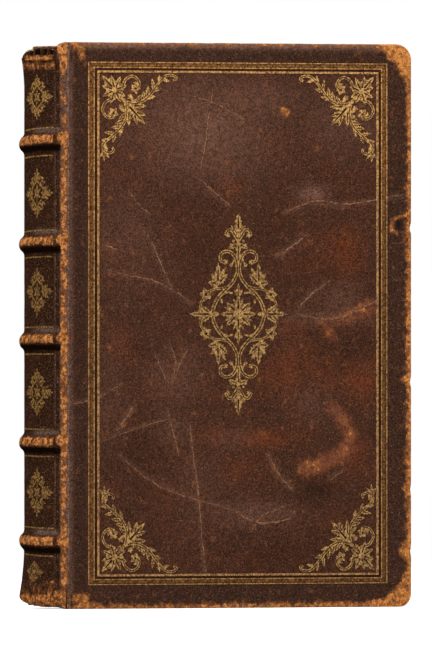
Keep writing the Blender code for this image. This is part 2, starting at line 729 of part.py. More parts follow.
def spine_tooling():
    back_width = SPINE_RADIUS * 2 * RIDGE_ANGLE
    panels = zip(spine_panels(), PANEL_FILL_SHARES, PANEL_WIDTH_SHARES)
    for number, ((low, high), fill, width_share) in enumerate(panels, 1):
        spine_fleuron(f"gilt_spine_{number}", (low + high) / 2, back_width * width_share, (high - low) * fill)

    inner = SPINE_RADIUS + SPINE_GILT_LIFT
    outer = inner + GILT_THICKNESS
    half = RIDGE_ANGLE - SPINE_LINE_MARGIN / SPINE_RADIUS
    for number, share in enumerate(BAND_SHARES, 1):
        for label, way in (("below", -1), ("above", 1)):
            middle = COVER_HEIGHT * share + way * SPINE_LINE_OFFSET
            low, high = middle - SPINE_LINE_WIDTH / 2, middle + SPINE_LINE_WIDTH / 2
            rings = []
            for angle in arc_angles(half):
                corners = ((inner, low), (outer, low), (outer, high), (inner, high))
                rings.append([spine_point(radius, angle, z) for radius, z in corners])
            verts, faces = loft(rings)
            piece(f"gilt_line_{label}_{number}", verts, faces, GILT)


def text_block():
    half = BLOCK_THICKNESS / 2
    for number in range(SECTION_COUNT):
        low_y = -half + BLOCK_THICKNESS * number / SECTION_COUNT
        high_y = -half + BLOCK_THICKNESS * (number + 1) / SECTION_COUNT
        section(f"section_{number + 1}", low_y, high_y)
    flyleaf("front_flyleaf", -1)
    flyleaf("back_flyleaf", 1)


def sewing_and_lining():
    centre_radius = BLOCK_RADIUS + FIT + CORD_RADIUS
    half = RIDGE_ANGLE - FIT / SPINE_RADIUS
    heights = [COVER_HEIGHT * share for share in BAND_SHARES]
    for number, height in enumerate(heights, 1):
        bent_cord(f"sewing_cord_{number}", CORD_RADIUS, centre_radius, height, half, HEMP)
    reach = CORD_RADIUS + FIT
    lows = [BLOCK_TAIL] + [height + reach for height in heights]
    highs = [height - reach for height in heights] + [BLOCK_HEAD]
    for number, (low, high) in enumerate(zip(lows, highs), 1):
        lining(f"spine_lining_{number}", low, high)


def endbands():
    lip = SPINE_RADIUS - CAP_ROUND - SPINE_LEATHER
    centre_radius = lip - FIT - ENDBAND_RADIUS
    half = RIDGE_ANGLE - FIT / SPINE_RADIUS
    reach = FIT + ENDBAND_RADIUS
    bent_cord("headband", ENDBAND_RADIUS, centre_radius, BLOCK_HEAD + reach, half, SILK)
    bent_cord("tailband", ENDBAND_RADIUS, centre_radius, BLOCK_TAIL - reach, half, SILK)


def cover(name, side, carrier):
    cover_leather(name + "_leather", side, carrier)
    cover_board(name + "_board", side, carrier)
    pastedown(name + "_pastedown", side, carrier)
    frames(name, side, carrier)


clear_scene()
front_hinge = hinge("front_hinge", -1)
back_hinge = hinge("back_hinge", 1)
text_block()
sewing_and_lining()
endbands()
spine_leather()
spine_tooling()
cover("front", -1, front_hinge)
cover("back", 1, back_hinge)
cover_tooling(front_hinge)
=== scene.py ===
# %% [markdown]
# # An old book in worn dark leather
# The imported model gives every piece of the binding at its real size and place. This
# notebook dresses it: leather with grain and wear, rubbed gold, paper and thread. The
# frame is loaded first, because every later size is read from it.

import math
from functools import reduce

import bmesh
import bpy
import numpy as np
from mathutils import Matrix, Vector, noise
from mathutils.geometry import delaunay_2d_cdt


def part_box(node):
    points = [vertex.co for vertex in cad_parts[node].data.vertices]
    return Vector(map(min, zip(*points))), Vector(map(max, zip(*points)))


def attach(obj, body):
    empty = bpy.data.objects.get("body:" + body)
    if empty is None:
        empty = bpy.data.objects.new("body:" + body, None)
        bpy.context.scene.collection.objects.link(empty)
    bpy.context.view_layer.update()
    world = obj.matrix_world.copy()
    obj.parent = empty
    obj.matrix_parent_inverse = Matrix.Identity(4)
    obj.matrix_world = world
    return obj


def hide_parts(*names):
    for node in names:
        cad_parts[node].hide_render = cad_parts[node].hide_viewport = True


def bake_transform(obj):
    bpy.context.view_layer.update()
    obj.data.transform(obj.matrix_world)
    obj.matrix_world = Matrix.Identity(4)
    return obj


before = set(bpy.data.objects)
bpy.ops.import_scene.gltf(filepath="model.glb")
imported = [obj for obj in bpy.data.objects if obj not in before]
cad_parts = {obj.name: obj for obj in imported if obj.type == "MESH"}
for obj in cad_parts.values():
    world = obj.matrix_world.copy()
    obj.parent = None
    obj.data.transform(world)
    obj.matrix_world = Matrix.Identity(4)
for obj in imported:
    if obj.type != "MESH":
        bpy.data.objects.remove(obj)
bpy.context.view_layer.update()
MM = 0.001

# %% [markdown]
# ## Sizes read from the frame
# The covers, the joint line and the spine's curve are measured on the solids, so the
# dressed pieces land on the same planes. X runs from spine to fore-edge, Z from tail to
# head, and the front cover faces -Y.

# %% Measure the covers and the spine
COVER_LOW, COVER_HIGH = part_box("front_leather")
JOINT_X, FORE_X = COVER_LOW[0], COVER_HIGH[0]
HEAD = COVER_HIGH[2]
HALF_BOOK = -COVER_LOW[1]
COVER_INNER = -COVER_HIGH[1]
SPINE_LOW, SPINE_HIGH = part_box("spine_leather")
SPINE_TOP = SPINE_HIGH[2]
BAND_HEIGHT = 1.9 * MM
SPINE_RADIUS = 45 * MM
RIDGE_ROUND = 2.2 * MM
JOINT_DEPTH = 0.6 * MM
JOINT_GAP = 0.3 * MM
SPINE_CENTRE_X = SPINE_LOW[0] + BAND_HEIGHT + SPINE_RADIUS
RIDGE_ANGLE = math.asin((HALF_BOOK - RIDGE_ROUND) / (SPINE_RADIUS - RIDGE_ROUND))
RIDGE_X = SPINE_CENTRE_X - (SPINE_RADIUS - RIDGE_ROUND) * math.cos(RIDGE_ANGLE)
EDGE_ROUND = 0.7 * MM
BAND_WIDTH = 6.2 * MM
BANDS = [(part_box(f"sewing_cord_{k}")[0][2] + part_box(f"sewing_cord_{k}")[1][2]) / 2 for k in range(1, 6)]
BLOCK_LOW, BLOCK_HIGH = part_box("section_1")
print("cover's joint line, fore-edge and head in mm:", [round(v / MM, 1) for v in (JOINT_X, FORE_X, HEAD)])
print("half the book, ridge line and bands in mm:", [round(v / MM, 1) for v in (HALF_BOOK, RIDGE_X, *BANDS)])

# %% [markdown]
# ## The photograph's view
# The camera stands far off, level with the middle of the book and 28 degrees round
# towards the spine, so the edges stay nearly parallel. Marks that were read off the
# photograph are pixels of its 433 x 650 frame, and these helpers turn them into places on
# the book. The spine stands about 50 mm nearer to the camera than the covers' plane.

# %% Set up the camera and the pixel scale
IMAGE_WIDTH, IMAGE_HEIGHT = 433, 650
VIEW_ANGLE = math.radians(28)
CAMERA_DISTANCE = 8.4
CAMERA_REACH = 100
SENSOR = 36.0
PIXEL_OF_TAIL, PIXEL_OF_HEAD = 607.6, 43.4
PIXEL_OF_FORE_EDGE = 412.5
PIXEL = HEAD / (PIXEL_OF_TAIL - PIXEL_OF_HEAD)


def along_view(x, y):
    return x * math.cos(VIEW_ANGLE) - y * math.sin(VIEW_ANGLE)


VIEW_CENTRE = along_view(FORE_X, -HALF_BOOK) - (PIXEL_OF_FORE_EDGE - IMAGE_WIDTH / 2) * PIXEL
VIEW_HEIGHT = (PIXEL_OF_TAIL - IMAGE_HEIGHT / 2) * PIXEL
SPINE_NEARER_BY = 50 * MM
NEARER = CAMERA_DISTANCE / (CAMERA_DISTANCE - SPINE_NEARER_BY)


def z_at(row):
    return (PIXEL_OF_TAIL - row) * PIXEL


def x_at(column):
    # The place on the front cover's face that is seen in this column
    return FORE_X - (PIXEL_OF_FORE_EDGE - column) * PIXEL / math.cos(VIEW_ANGLE)


def spine_z(row):
    # The height on the spine that is seen in this row
    return VIEW_HEIGHT + (z_at(row) - VIEW_HEIGHT) / NEARER


def spine_row(z):
    return PIXEL_OF_TAIL - (VIEW_HEIGHT + (z - VIEW_HEIGHT) * NEARER) / PIXEL


def turn_at(column):
    # The angle on the rounded spine that is seen in this column, 0 at its middle
    across = VIEW_CENTRE + (column - IMAGE_WIDTH / 2) * PIXEL / NEARER
    reach = (math.cos(VIEW_ANGLE) * SPINE_CENTRE_X - across) / SPINE_RADIUS
    return math.degrees(VIEW_ANGLE - math.acos(min(max(reach, -1), 1)))


def linked_object(name, data):
    made = bpy.data.objects.new(name, data)
    bpy.context.scene.collection.objects.link(made)
    return made


def make_camera():
    data = bpy.data.cameras.new("camera")
    camera = linked_object("camera", data)
    right = Vector((math.cos(VIEW_ANGLE), -math.sin(VIEW_ANGLE), 0))
    towards = Vector((math.sin(VIEW_ANGLE), math.cos(VIEW_ANGLE), 0))
    camera.location = right * VIEW_CENTRE - towards * CAMERA_DISTANCE + Vector((0, 0, VIEW_HEIGHT))
    camera.rotation_euler = (math.pi / 2, 0, -VIEW_ANGLE)
    data.sensor_width = SENSOR
    data.lens = SENSOR * CAMERA_DISTANCE / (IMAGE_HEIGHT * PIXEL)
    data.clip_end = CAMERA_REACH
    bpy.context.scene.camera = camera
    return camera


camera = make_camera()
print("one pixel in mm:", PIXEL / MM, "lens:", camera.data.lens)

# %% [markdown]
# ## A short hand for shader nodes
# A finish here is mostly a colour that several masks change in turn. This small class
# adds nodes one by one and links them, so that each material reads as a list of steps.
# All patterns use Object coordinates in metres, so a scale of 1000 gives spots near 1 mm.

# %% Define the finish helper


def rgb(colour):
    # A colour as it looks on screen, 0 to 255, as the linear value that a shader wants
    linear = [((c / 255 + 0.055) / 1.055) ** 2.4 if c > 10.3 else c / 255 / 12.92 for c in colour]
    return (*linear, 1.0)


class Finish:
    def __init__(self, name, roughness, specular, metallic=0.0):
        self.material = bpy.data.materials.new(name)
        self.material.use_nodes = True
        self.nodes = self.material.node_tree.nodes
        self.links = self.material.node_tree.links
        self.shader = self.nodes["Principled BSDF"]
        self.shader.inputs["Roughness"].default_value = roughness
        self.shader.inputs["Specular IOR Level"].default_value = specular
        self.shader.inputs["Metallic"].default_value = metallic
        self.place = self.nodes.new("ShaderNodeTexCoord").outputs["Object"]

    def plug(self, socket, value):
        if isinstance(value, bpy.types.NodeSocket):
            self.links.new(value, socket)
        else:
            socket.default_value = value

    def math(self, operation, first, second, clamp=False):
        node = self.nodes.new("ShaderNodeMath")
        node.operation = operation
        node.use_clamp = clamp
        self.plug(node.inputs[0], first)
        self.plug(node.inputs[1], second)
        return node.outputs[0]

    def added(self, first, second):
        return self.math("ADD", first, second)

    def times(self, first, second, clamp=False):
        return self.math("MULTIPLY", first, second, clamp)

    def centred(self, value, strength):
        # Noise about 0 instead of about a half, made stronger
        return self.times(self.math("SUBTRACT", value, 0.5), strength)

    def spots(self, scale, detail, rough):
        node = self.nodes.new("ShaderNodeTexNoise")
        self.links.new(self.place, node.inputs["Vector"])
        node.inputs["Scale"].default_value = scale
        node.inputs["Detail"].default_value = detail
        node.inputs["Roughness"].default_value = rough
        return node.outputs["Fac"]

    def cells(self, scale):
        node = self.nodes.new("ShaderNodeTexVoronoi")
        node.feature = "DISTANCE_TO_EDGE"
        self.links.new(self.place, node.inputs["Vector"])
        node.inputs["Scale"].default_value = scale
        return node.outputs["Distance"]

    def height(self):
        node = self.nodes.new("ShaderNodeSeparateXYZ")
        self.links.new(self.place, node.inputs[0])
        return node.outputs["Z"]

    def painted(self, name):
        node = self.nodes.new("ShaderNodeAttribute")
        node.attribute_name = name
        return node.outputs["Fac"]

    def between(self, value, low, high, out_low=0.0, out_high=1.0):
        node = self.nodes.new("ShaderNodeMapRange")
        node.interpolation_type = "SMOOTHSTEP"
        for socket, given in zip(node.inputs, (value, low, high, out_low, out_high)):
            self.plug(socket, given)
        return node.outputs[0]

    def mix(self, share, first, second):
        node = self.nodes.new("ShaderNodeMix")
        node.data_type = "RGBA"
        self.plug(node.inputs["Factor"], share)
        for socket, colour in ((node.inputs[6], first), (node.inputs[7], second)):
            self.plug(socket, colour if isinstance(colour, bpy.types.NodeSocket) else rgb(colour))
        return node.outputs[2]

    def scaled(self, colour, factor):
        node = self.nodes.new("ShaderNodeVectorMath")
        node.operation = "SCALE"
        self.plug(node.inputs[0], colour)
        self.plug(node.inputs["Scale"], factor)
        return node.outputs[0]

    def bump(self, height, depth, strength=1.0):
        node = self.nodes.new("ShaderNodeBump")
        node.inputs["Strength"].default_value = strength
        node.inputs["Distance"].default_value = depth
        self.plug(node.inputs["Height"], height)
        normal = self.shader.inputs["Normal"]
        if normal.links:
            self.links.new(normal.links[0].from_socket, node.inputs["Normal"])
        self.links.new(node.outputs["Normal"], normal)

    def colour(self, value):
        self.plug(self.shader.inputs["Base Color"], value)

    def roughness(self, value):
        self.plug(self.shader.inputs["Roughness"], value)


print("a screen grey of 128 as a shader sees it:", round(rgb((128, 128, 128))[0], 3))

# %% [markdown]
# ## Worn leather
# The skin is dark chocolate calf with a fine mottle, redder where it was handled. Where edges rubbed on
# shelves the dyed grain is gone and the orange-tan flesh shows. Each leather mesh carries four painted
# values: how worn it is, how dusty or paled by a painted sheen or highlight, how warm, and how dark by dirt
# or by painted shade.
# The shader breaks their borders up with noise, so that the wear looks ragged. Values
# and noise are used instead of a picture, because they stay sharp from near by and can
# be corrected one place at a time.

# %% Leather finish
# The near-black that dirt and painted shade darken the leather to: under the bands and in hollows, slits and
# creases it stands for shade
DIRT_AND_SHADE = (12, 6, 3)


def dyed_grain(finish, base, warm, pale, contrast):
    # The dyed side of the skin: redder and dustier where it is painted so, with pale specks
    fine = finish.times(finish.spots(2600, 1, 0.5), 0.5)
    grain = finish.added(finish.times(finish.spots(1500, 2, 0.6), 0.5), fine)
    grain = finish.between(grain, 0.38, 0.62, 1 - 0.62 * contrast, 1 + 0.72 * contrast)
    cloud = finish.between(finish.spots(60, 4, 0.6), 0.34, 0.68, 0.55, 1.15)
    fleck = finish.between(finish.spots(420, 3, 0.6), 0.36, 0.64, 0.7, 1.2)
    heat = finish.times(finish.painted("warm"), finish.times(cloud, fleck), clamp=True)
    # Real dust in most places, and a painted sheen or highlight along the joints, the head rim and the crests
    # above the spine's bands
    dust = finish.times(finish.painted("dust"), fleck, clamp=True)
    colour = finish.mix(dust, finish.mix(heat, base, warm), pale)
    speck = finish.between(finish.spots(1700, 1, 0.5), 0.62, 0.72, 0, 0.75)
    return finish.mix(speck, finish.scaled(colour, grain), pale)


def bare_flesh(finish, worn, worn_dark):
    # What lies under the grain: tan fibres with pores and dark specks
    tone = finish.added(finish.centred(finish.spots(560, 5, 0.78), 1.7), 0.5)
    tone = finish.added(tone, finish.times(finish.painted("worn"), 0.16))
    flesh = finish.mix(finish.between(tone, 0.50, 0.74), worn_dark, worn)
    pores = finish.between(finish.spots(1900, 2, 0.6), 0.38, 0.58, 0.62, 1.12)
    specks = finish.between(finish.spots(760, 3, 0.75), 0.52, 0.66, 1.05, 0.62)
    return finish.scaled(finish.scaled(flesh, pores), specks)


def leather_finish(name, base, warm, pale, worn, worn_dark, contrast, specular):
    finish = Finish(name, roughness=0.5, specular=specular)
    level = finish.added(finish.painted("worn"), finish.centred(finish.spots(260, 7, 0.76), 2.5))
    mask = finish.between(level, 0.40, 0.56)
    halo = finish.between(level, 0.16, 0.42, 0, 0.5)
    colour = finish.mix(halo, dyed_grain(finish, base, warm, pale, contrast), worn_dark)
    colour = finish.mix(mask, colour, bare_flesh(finish, worn, worn_dark))
    # Darkened towards near-black where the leather is dirty or painted in shade
    finish.colour(finish.mix(finish.times(finish.painted("shade"), 0.95), colour, DIRT_AND_SHADE))
    finish.roughness(finish.between(mask, 0, 1, 0.55, 0.85))
    finish.bump(finish.cells(1400), 0.08 * MM, 0.5)
    finish.bump(finish.spots(800, 4, 0.7), 0.12 * MM, 0.7)
    finish.bump(mask, 0.10 * MM, -0.5)
    return finish.material


cover_leather = leather_finish(
    "cover_leather", base=(55, 35, 25), warm=(101, 49, 25), pale=(116, 82, 66),
    worn=(214, 138, 70), worn_dark=(138, 84, 48), contrast=0.85, specular=0.03)
spine_leather = leather_finish(
    "spine_leather", base=(42, 25, 15), warm=(62, 34, 19), pale=(124, 98, 86),
    worn=(206, 134, 74), worn_dark=(112, 66, 36), contrast=1.1, specular=0.0)
print("leathers:", cover_leather.name, spine_leather.name)

# %% [markdown]
# ## Rubbed gold
# Gold leaf is pressed into the leather with hot tools. It is thin, so it is dull ochre where dirt covers it,
# bright where it was last rubbed, and gone in many small spots; the bright spots are also painted glints. Its
# colour is painted dimmer towards the tail, as shade where less light falls. Scorched leather, which also
# stands for shade in the frames' gaps, and dusty cracks break up in the same way, so they share this finish.
# One flat yellow would look printed, so two noises mix three colours. Paper is browned, and the hidden board,
# cord and silk are plain.

# %% Gold, paper and thread finishes
# Heights from which the colour is painted brighter towards the head, as light that falls off towards the tail
GOLD_FALLOFF_HEIGHTS = (120 * MM, 205 * MM)
GOLD_FALLOFF_SHARE = 0.86
FOXING = (126, 84, 46)


def gold_finish(name, bright, dull, lost, loss, metallic):
    finish = Finish(name, roughness=0.5, specular=0.25 if metallic else 0.0, metallic=metallic)
    # The same colours painted darker, as painted shade towards the tail
    painted_falloff = [tuple(GOLD_FALLOFF_SHARE * part for part in colour) for colour in (dull, bright)]
    # Noise between dull and bright gold: rubbing and dirt, and painted glints
    rub_and_glint = finish.between(finish.spots(1100, 3, 0.75), 0.42, 0.58)
    colour = finish.mix(finish.between(finish.height(), *GOLD_FALLOFF_HEIGHTS),
                        finish.mix(rub_and_glint, *painted_falloff), finish.mix(rub_and_glint, dull, bright))
    left = finish.between(finish.spots(900, 5, 0.75), loss - 0.08, loss + 0.02)
    finish.colour(finish.mix(left, lost, colour))
    finish.bump(finish.spots(1300, 3, 0.6), 0.08 * MM, 0.7)
    return finish.material


def paper_finish(name, light, dark, spots):
    finish = Finish(name, roughness=0.9, specular=0.1)
    stain = finish.between(finish.spots(spots, 5, 0.65), 0.42, 0.68)
    fox = finish.between(finish.spots(700, 3, 0.6), 0.66, 0.72, 0, 0.6)
    finish.colour(finish.mix(fox, finish.mix(stain, light, dark), FOXING))
    return finish.material


def thread_finish(name, light, dark, pitch):
    finish = Finish(name, roughness=0.8, specular=0.15)
    finish.colour(finish.mix(finish.between(finish.spots(pitch, 1, 0.5), 0.42, 0.58), light, dark))
    finish.bump(finish.spots(2600, 2, 0.5), 0.1 * MM, 0.8)
    return finish.material


ornament_gold = gold_finish("ornament_gold", (208, 160, 90), (120, 81, 40), (78, 49, 27), 0.46, 0.15)
fillet_gold = gold_finish("fillet_gold", (202, 150, 87), (130, 86, 46), (78, 48, 28), 0.46, 0.15)
fillet_fill = gold_finish("fillet_fill", (134, 90, 46), (88, 56, 28), (58, 35, 20), 0.47, 0)
spine_gold = gold_finish("spine_gold", (176, 134, 78), (100, 70, 36), (56, 35, 20), 0.475, 0)
# Dark leather: browned by hot tools, and dark as painted shade in the frames' gap and slit
burnt_and_shaded_leather = gold_finish("burnt_and_shaded_leather", (64, 37, 22), (46, 26, 15), (78, 48, 29), 0.4, 0)
crack_leather = gold_finish("crack_leather", (178, 126, 92), (128, 86, 62), (78, 48, 33), 0.49, 0)
leaf_paper = paper_finish("leaf_paper", (202, 176, 134), (182, 150, 106), 260)
board_paper = paper_finish("board_paper", (190, 160, 118), (168, 136, 94), 90)
pasteboard = paper_finish("pasteboard", (138, 112, 80), (104, 80, 54), 180)
hemp = thread_finish("hemp", (166, 134, 88), (116, 88, 54), 900)
silk = thread_finish("silk", (150, 110, 66), (92, 48, 34), 700)
print("golds and what is rubbed like them:", [finish.name for finish in (
    ornament_gold, fillet_gold, fillet_fill, spine_gold, burnt_and_shaded_leather, crack_leather)])
print("papers and threads:", [finish.name for finish in (leaf_paper, board_paper, pasteboard, hemp, silk)])

# %% [markdown]
# The boards, pastedowns, flyleaves, cords and linings keep their own solids, which are
# right as they are, and only take a finish.

# %% Finish the solids that stay
KEPT = {
    pasteboard: ["front_board"],
    board_paper: ["front_pastedown", "back_pastedown", "front_flyleaf", "back_flyleaf"],
    leaf_paper: [f"spine_lining_{k}" for k in range(1, 7)],
    hemp: [f"sewing_cord_{k}" for k in range(1, 6)],
}
for finish_of_node, nodes in KEPT.items():
    for node in nodes:
        bpy.data.objects[node].material_slots[0].material = finish_of_node
print("finished solids:", sum(len(nodes) for nodes in KEPT.values()))

# %% [markdown]
# ## Turning points into pieces
# A piece is a mesh in book coordinates on an object at the origin, so that no object has to be moved
# afterwards. One helper makes it, turns its faces outwards and adds its painted values. Another attaches it
# to the body it rides on and hides the solids it stands for.

# %% Make and register a piece


def bake(piece):
    # What the modifiers make is kept as the piece's own mesh
    shaped = piece.evaluated_get(bpy.context.evaluated_depsgraph_get())
    baked = bpy.data.meshes.new_from_object(shaped)
    piece.modifiers.clear()
    piece.data = baked


def register(piece, body, replaced):
    if body:
        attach(piece, body)
    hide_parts(*replaced)
    print(piece.name, len(piece.data.polygons), "faces")
    return piece


def add_piece(name, verts, faces, material, body, replaced, painted=None, smooth=0, skin=0.0):
    mesh = bpy.data.meshes.new(name)
    mesh.from_pydata([tuple(v) for v in verts], [], faces)
    work = bmesh.new()
    work.from_mesh(mesh)
    bmesh.ops.recalc_face_normals(work, faces=work.faces)
    work.to_mesh(mesh)
    work.free()
    for label, values in (painted or {}).items():
        layer = mesh.attributes.new(label, "FLOAT", "POINT")
        layer.data.foreach_set("value", np.asarray(values, dtype=np.float32))
    mesh.materials.append(material)
    if smooth:
        mesh.shade_smooth()
        mesh.set_sharp_from_angle(angle=math.radians(smooth))
    piece = linked_object(name, mesh)
    if skin:
        wall = piece.modifiers.new("skin", "SOLIDIFY")
        wall.thickness = skin
        wall.offset = -1
        bake(piece)
    return register(piece, body, replaced)


# %% [markdown]
# Wear and form are built from soft steps, peaks and windows, and from lines that were
# read off the photograph. Three helpers count out the faces of tubes and grids.

# %% Soft steps, paths and faces


def smooth_step(low, high, value):
    share = np.clip((np.asarray(value, dtype=float) - low) / (high - low), 0, 1)
    return share * share * (3 - 2 * share)


def peak(value, middle, half):
    # 1 at the middle, fading to nearly nothing at twice the half-width
    return np.exp(-((value - middle) / half) ** 2)


def window(value, low, high, soft):
    return smooth_step(low - soft, low + soft, value) * (1 - smooth_step(high - soft, high + soft, value))


def strongest(*values):
    # The largest of several masks at each place
    return reduce(np.maximum, values)


def rumple(points, scale, seed):
    # Smooth noise between -1 and 1 at each point
    return np.array([noise.noise(Vector(p) * scale + Vector((seed, seed, seed))) for p in points])


def distance_to_path(x, z, path):
    # How far each place is from a bent line through the given points
    nearest = np.full(len(x), 1.0)
    for (x0, z0), (x1, z1) in zip(path, path[1:]):
        length = (x1 - x0) ** 2 + (z1 - z0) ** 2
        share = np.clip(((x - x0) * (x1 - x0) + (z - z0) * (z1 - z0)) / max(length, 1e-12), 0, 1)
        gap = np.hypot(x - x0 - share * (x1 - x0), z - z0 - share * (z1 - z0))
        nearest = np.minimum(nearest, gap)
    return nearest


def path_on_cover(pixels):
    return [(x_at(column), z_at(row)) for column, row in pixels]


def near_path(x, z, pixels, full, end):
    # 1 up to the first distance from a line on the cover, and 0 beyond the second
    return 1 - smooth_step(full, end, distance_to_path(x, z, path_on_cover(pixels)))


def tube_rings(rings):
    # Side faces between equal rings, with a face at each end
    count = len(rings[0])
    verts = [point for ring in rings for point in ring]
    faces = [tuple(range(count)), tuple(range(len(verts) - count, len(verts)))]
    for level in range(len(rings) - 1):
        low = level * count
        for k in range(count):
            after = (k + 1) % count
            faces.append((low + k, low + after, low + count + after, low + count + k))
    return verts, faces


def joined_tubes(tubes):
    # Several tubes as one mesh
    verts, faces = [], []
    for rings in tubes:
        new_verts, new_faces = tube_rings(rings)
        faces += [tuple(len(verts) + v for v in face) for face in new_faces]
        verts += new_verts
    return verts, faces


def grid_faces(rows, across):
    return [(row * across + k, row * across + k + 1, (row + 1) * across + k + 1, (row + 1) * across + k)
            for row in range(rows - 1) for k in range(across - 1)]


print("halfway up a soft step:", float(smooth_step(0, 1, 0.5)))

# %% [markdown]
# ## The leather of the covers
# Each cover is one skin: an even grid for the face, whose corners are pulled round, and
# rings that carry its rim over the edges to the turn-ins. A box with a bevel would be
# quicker, but it has no points for the dents and the painted wear. Handling has rounded
# the corner at the head more than the one at the tail.

# %% Corners and edge of a cover
HEAD_CORNER, TAIL_CORNER = 6.8 * MM, 5.4 * MM
LEAST_CORNER = 0.8 * MM
SOFT_EDGE = 0.8 * MM
EDGE_STEPS = 4
TURN_IN = 15 * MM


def round_corners(x, z):
    # Moves the square grid's two fore-edge corners on to quarter circles
    new_x, new_z = x.copy(), z.copy()
    for sign, radius, middle in ((-1, TAIL_CORNER, TAIL_CORNER), (1, HEAD_CORNER, HEAD - HEAD_CORNER)):
        a = np.clip((x - FORE_X + radius) / radius, 0, 1)
        b = np.clip(sign * (z - middle) / radius, 0, 1)
        corner = (a > 0) & (b > 0)
        new_x[corner] = FORE_X - radius + radius * (a * np.sqrt(1 - b ** 2 / 2))[corner]
        new_z[corner] = middle + sign * radius * (b * np.sqrt(1 - a ** 2 / 2))[corner]
    return new_x, new_z


def rim_point(x, z, inset):
    # The rim's point moved inwards, with smaller corners the further in it lies
    radius = TAIL_CORNER if z < HEAD / 2 else HEAD_CORNER
    kept_x = min(x, FORE_X - radius)
    kept_z = min(max(z, TAIL_CORNER), HEAD - HEAD_CORNER)
    out = Vector((x - kept_x, z - kept_z))
    way = out.normalized() if out.length > 1e-9 else Vector((0, 0))
    corner = max(radius - inset, LEAST_CORNER)
    low = inset + max(TAIL_CORNER - inset, LEAST_CORNER)
    high = HEAD - inset - max(HEAD_CORNER - inset, LEAST_CORNER)
    share_x = (kept_x - JOINT_X) / (FORE_X - radius - JOINT_X)
    share_z = (kept_z - TAIL_CORNER) / (HEAD - HEAD_CORNER - TAIL_CORNER)
    new_x = JOINT_X + share_x * (FORE_X - inset - corner - JOINT_X)
    return new_x + way.x * corner, low + share_z * (high - low) + way.y * corner


def edge_profile():
    # Inset and depth of each ring: over the edge, down its side, and back on to the inner face
    profile = []
    for step in range(1, EDGE_STEPS + 1):
        angle = math.radians(90 * step / EDGE_STEPS)
        profile.append((SOFT_EDGE * (1 - math.sin(angle)), HALF_BOOK - SOFT_EDGE * (1 - math.cos(angle))))
    for step in range(EDGE_STEPS + 1):
        angle = math.radians(90 * step / EDGE_STEPS)
        profile.append((EDGE_ROUND * (1 - math.cos(angle)), COVER_INNER + EDGE_ROUND * (1 - math.sin(angle))))
    return profile + [(2 * MM, COVER_INNER), (TURN_IN, COVER_INNER)]


print("rings round a cover's edge:", len(edge_profile()))

# %% [markdown]
# The face is a net of squares about 1 mm wide. A real skin is never flat, so two slow
# noises move it a little, less and less towards its edges.

# %% Grid of a cover's face
GRID_PITCH = 1.0 * MM
FACE_SWELL = 0.10 * MM
SWELL_FADE = 6 * MM


def cover_grid():
    # The flat face as a grid with rounded corners, its faces, and its rim from tail to head
    columns = int((FORE_X - JOINT_X) / GRID_PITCH)
    rows = int(HEAD / GRID_PITCH)
    grid_x, grid_z = np.meshgrid(np.linspace(JOINT_X, FORE_X, columns + 1), np.linspace(0, HEAD, rows + 1))
    rim = list(range(columns + 1))
    rim += [row * (columns + 1) + columns for row in range(1, rows + 1)]
    rim += [rows * (columns + 1) + k for k in range(columns - 1, -1, -1)]
    return *round_corners(grid_x.ravel(), grid_z.ravel()), grid_faces(rows + 1, columns + 1), rim


def swelling_face(flat_x, flat_z, side):
    # The face stops short of the edge by its rounding, and the rings go on from there
    face_x = JOINT_X + (flat_x - JOINT_X) / (FORE_X - JOINT_X) * (FORE_X - SOFT_EDGE - JOINT_X)
    face_z = SOFT_EDGE + flat_z / HEAD * (HEAD - 2 * SOFT_EDGE)
    points = np.stack([face_x, np.zeros_like(face_x), face_z], axis=1)
    swell = rumple(points, 45, side) + 0.5 * rumple(points, 160, 3 + side)
    near_edge = np.minimum(np.minimum(FORE_X - flat_x, flat_z), HEAD - flat_z)
    face_y = side * (HALF_BOOK + (swell - 1.0) * FACE_SWELL * smooth_step(0, SWELL_FADE, near_edge))
    return [list(v) for v in zip(face_x, face_y, face_z)]


print("points of a cover's face:", len(cover_grid()[0]))

# %% [markdown]
# Knocks have bitten nicks into the fore-edge, and the whole edge is a little ragged. On
# the back cover the corners beside the spine are worn low. Every point is moved by a
# rule, so the same rule can move the board under the leather. Solidify then gives the
# skin its thickness, which a hand-made inner wall would do with twice the work.

# %% Skin of a cover
SKIN = 0.55 * MM
NICKS = ((228, 0.7), (382, 0.5), (490, 0.4), (552, 0.4))
NICK_HALF = 1.5 * MM
FORE_FADE, HEAD_FADE = 6 * MM, 3 * MM
FORE_RAGGED, HEAD_RAGGED = 0.06 * MM, 0.10 * MM
LOW_CORNER_DROP, TAIL_CORNER_RISE = 2.3 * MM, 1.0 * MM
LOW_CORNER_RUN = (9.0 * MM, 12.5 * MM)
LOW_CORNER_NEAR, LOW_CORNER_FAR = 2 * MM, 14 * MM
LOW_TIP, LOW_TIP_RUN = 0.9 * MM, 3.2 * MM


def low_corner(x, z):
    # How far the worn corners beside the spine are lowered at the head and raised at the tail
    near_spine = 1 - smooth_step(*LOW_CORNER_RUN, x - JOINT_X)
    tip = LOW_TIP * (1 - smooth_step(0, LOW_TIP_RUN, x - JOINT_X))
    head = (LOW_CORNER_DROP + tip) * smooth_step(HEAD - LOW_CORNER_FAR, HEAD - LOW_CORNER_NEAR, z)
    tail = TAIL_CORNER_RISE * (1 - smooth_step(LOW_CORNER_NEAR, LOW_CORNER_FAR, z))
    return near_spine * (head - tail)


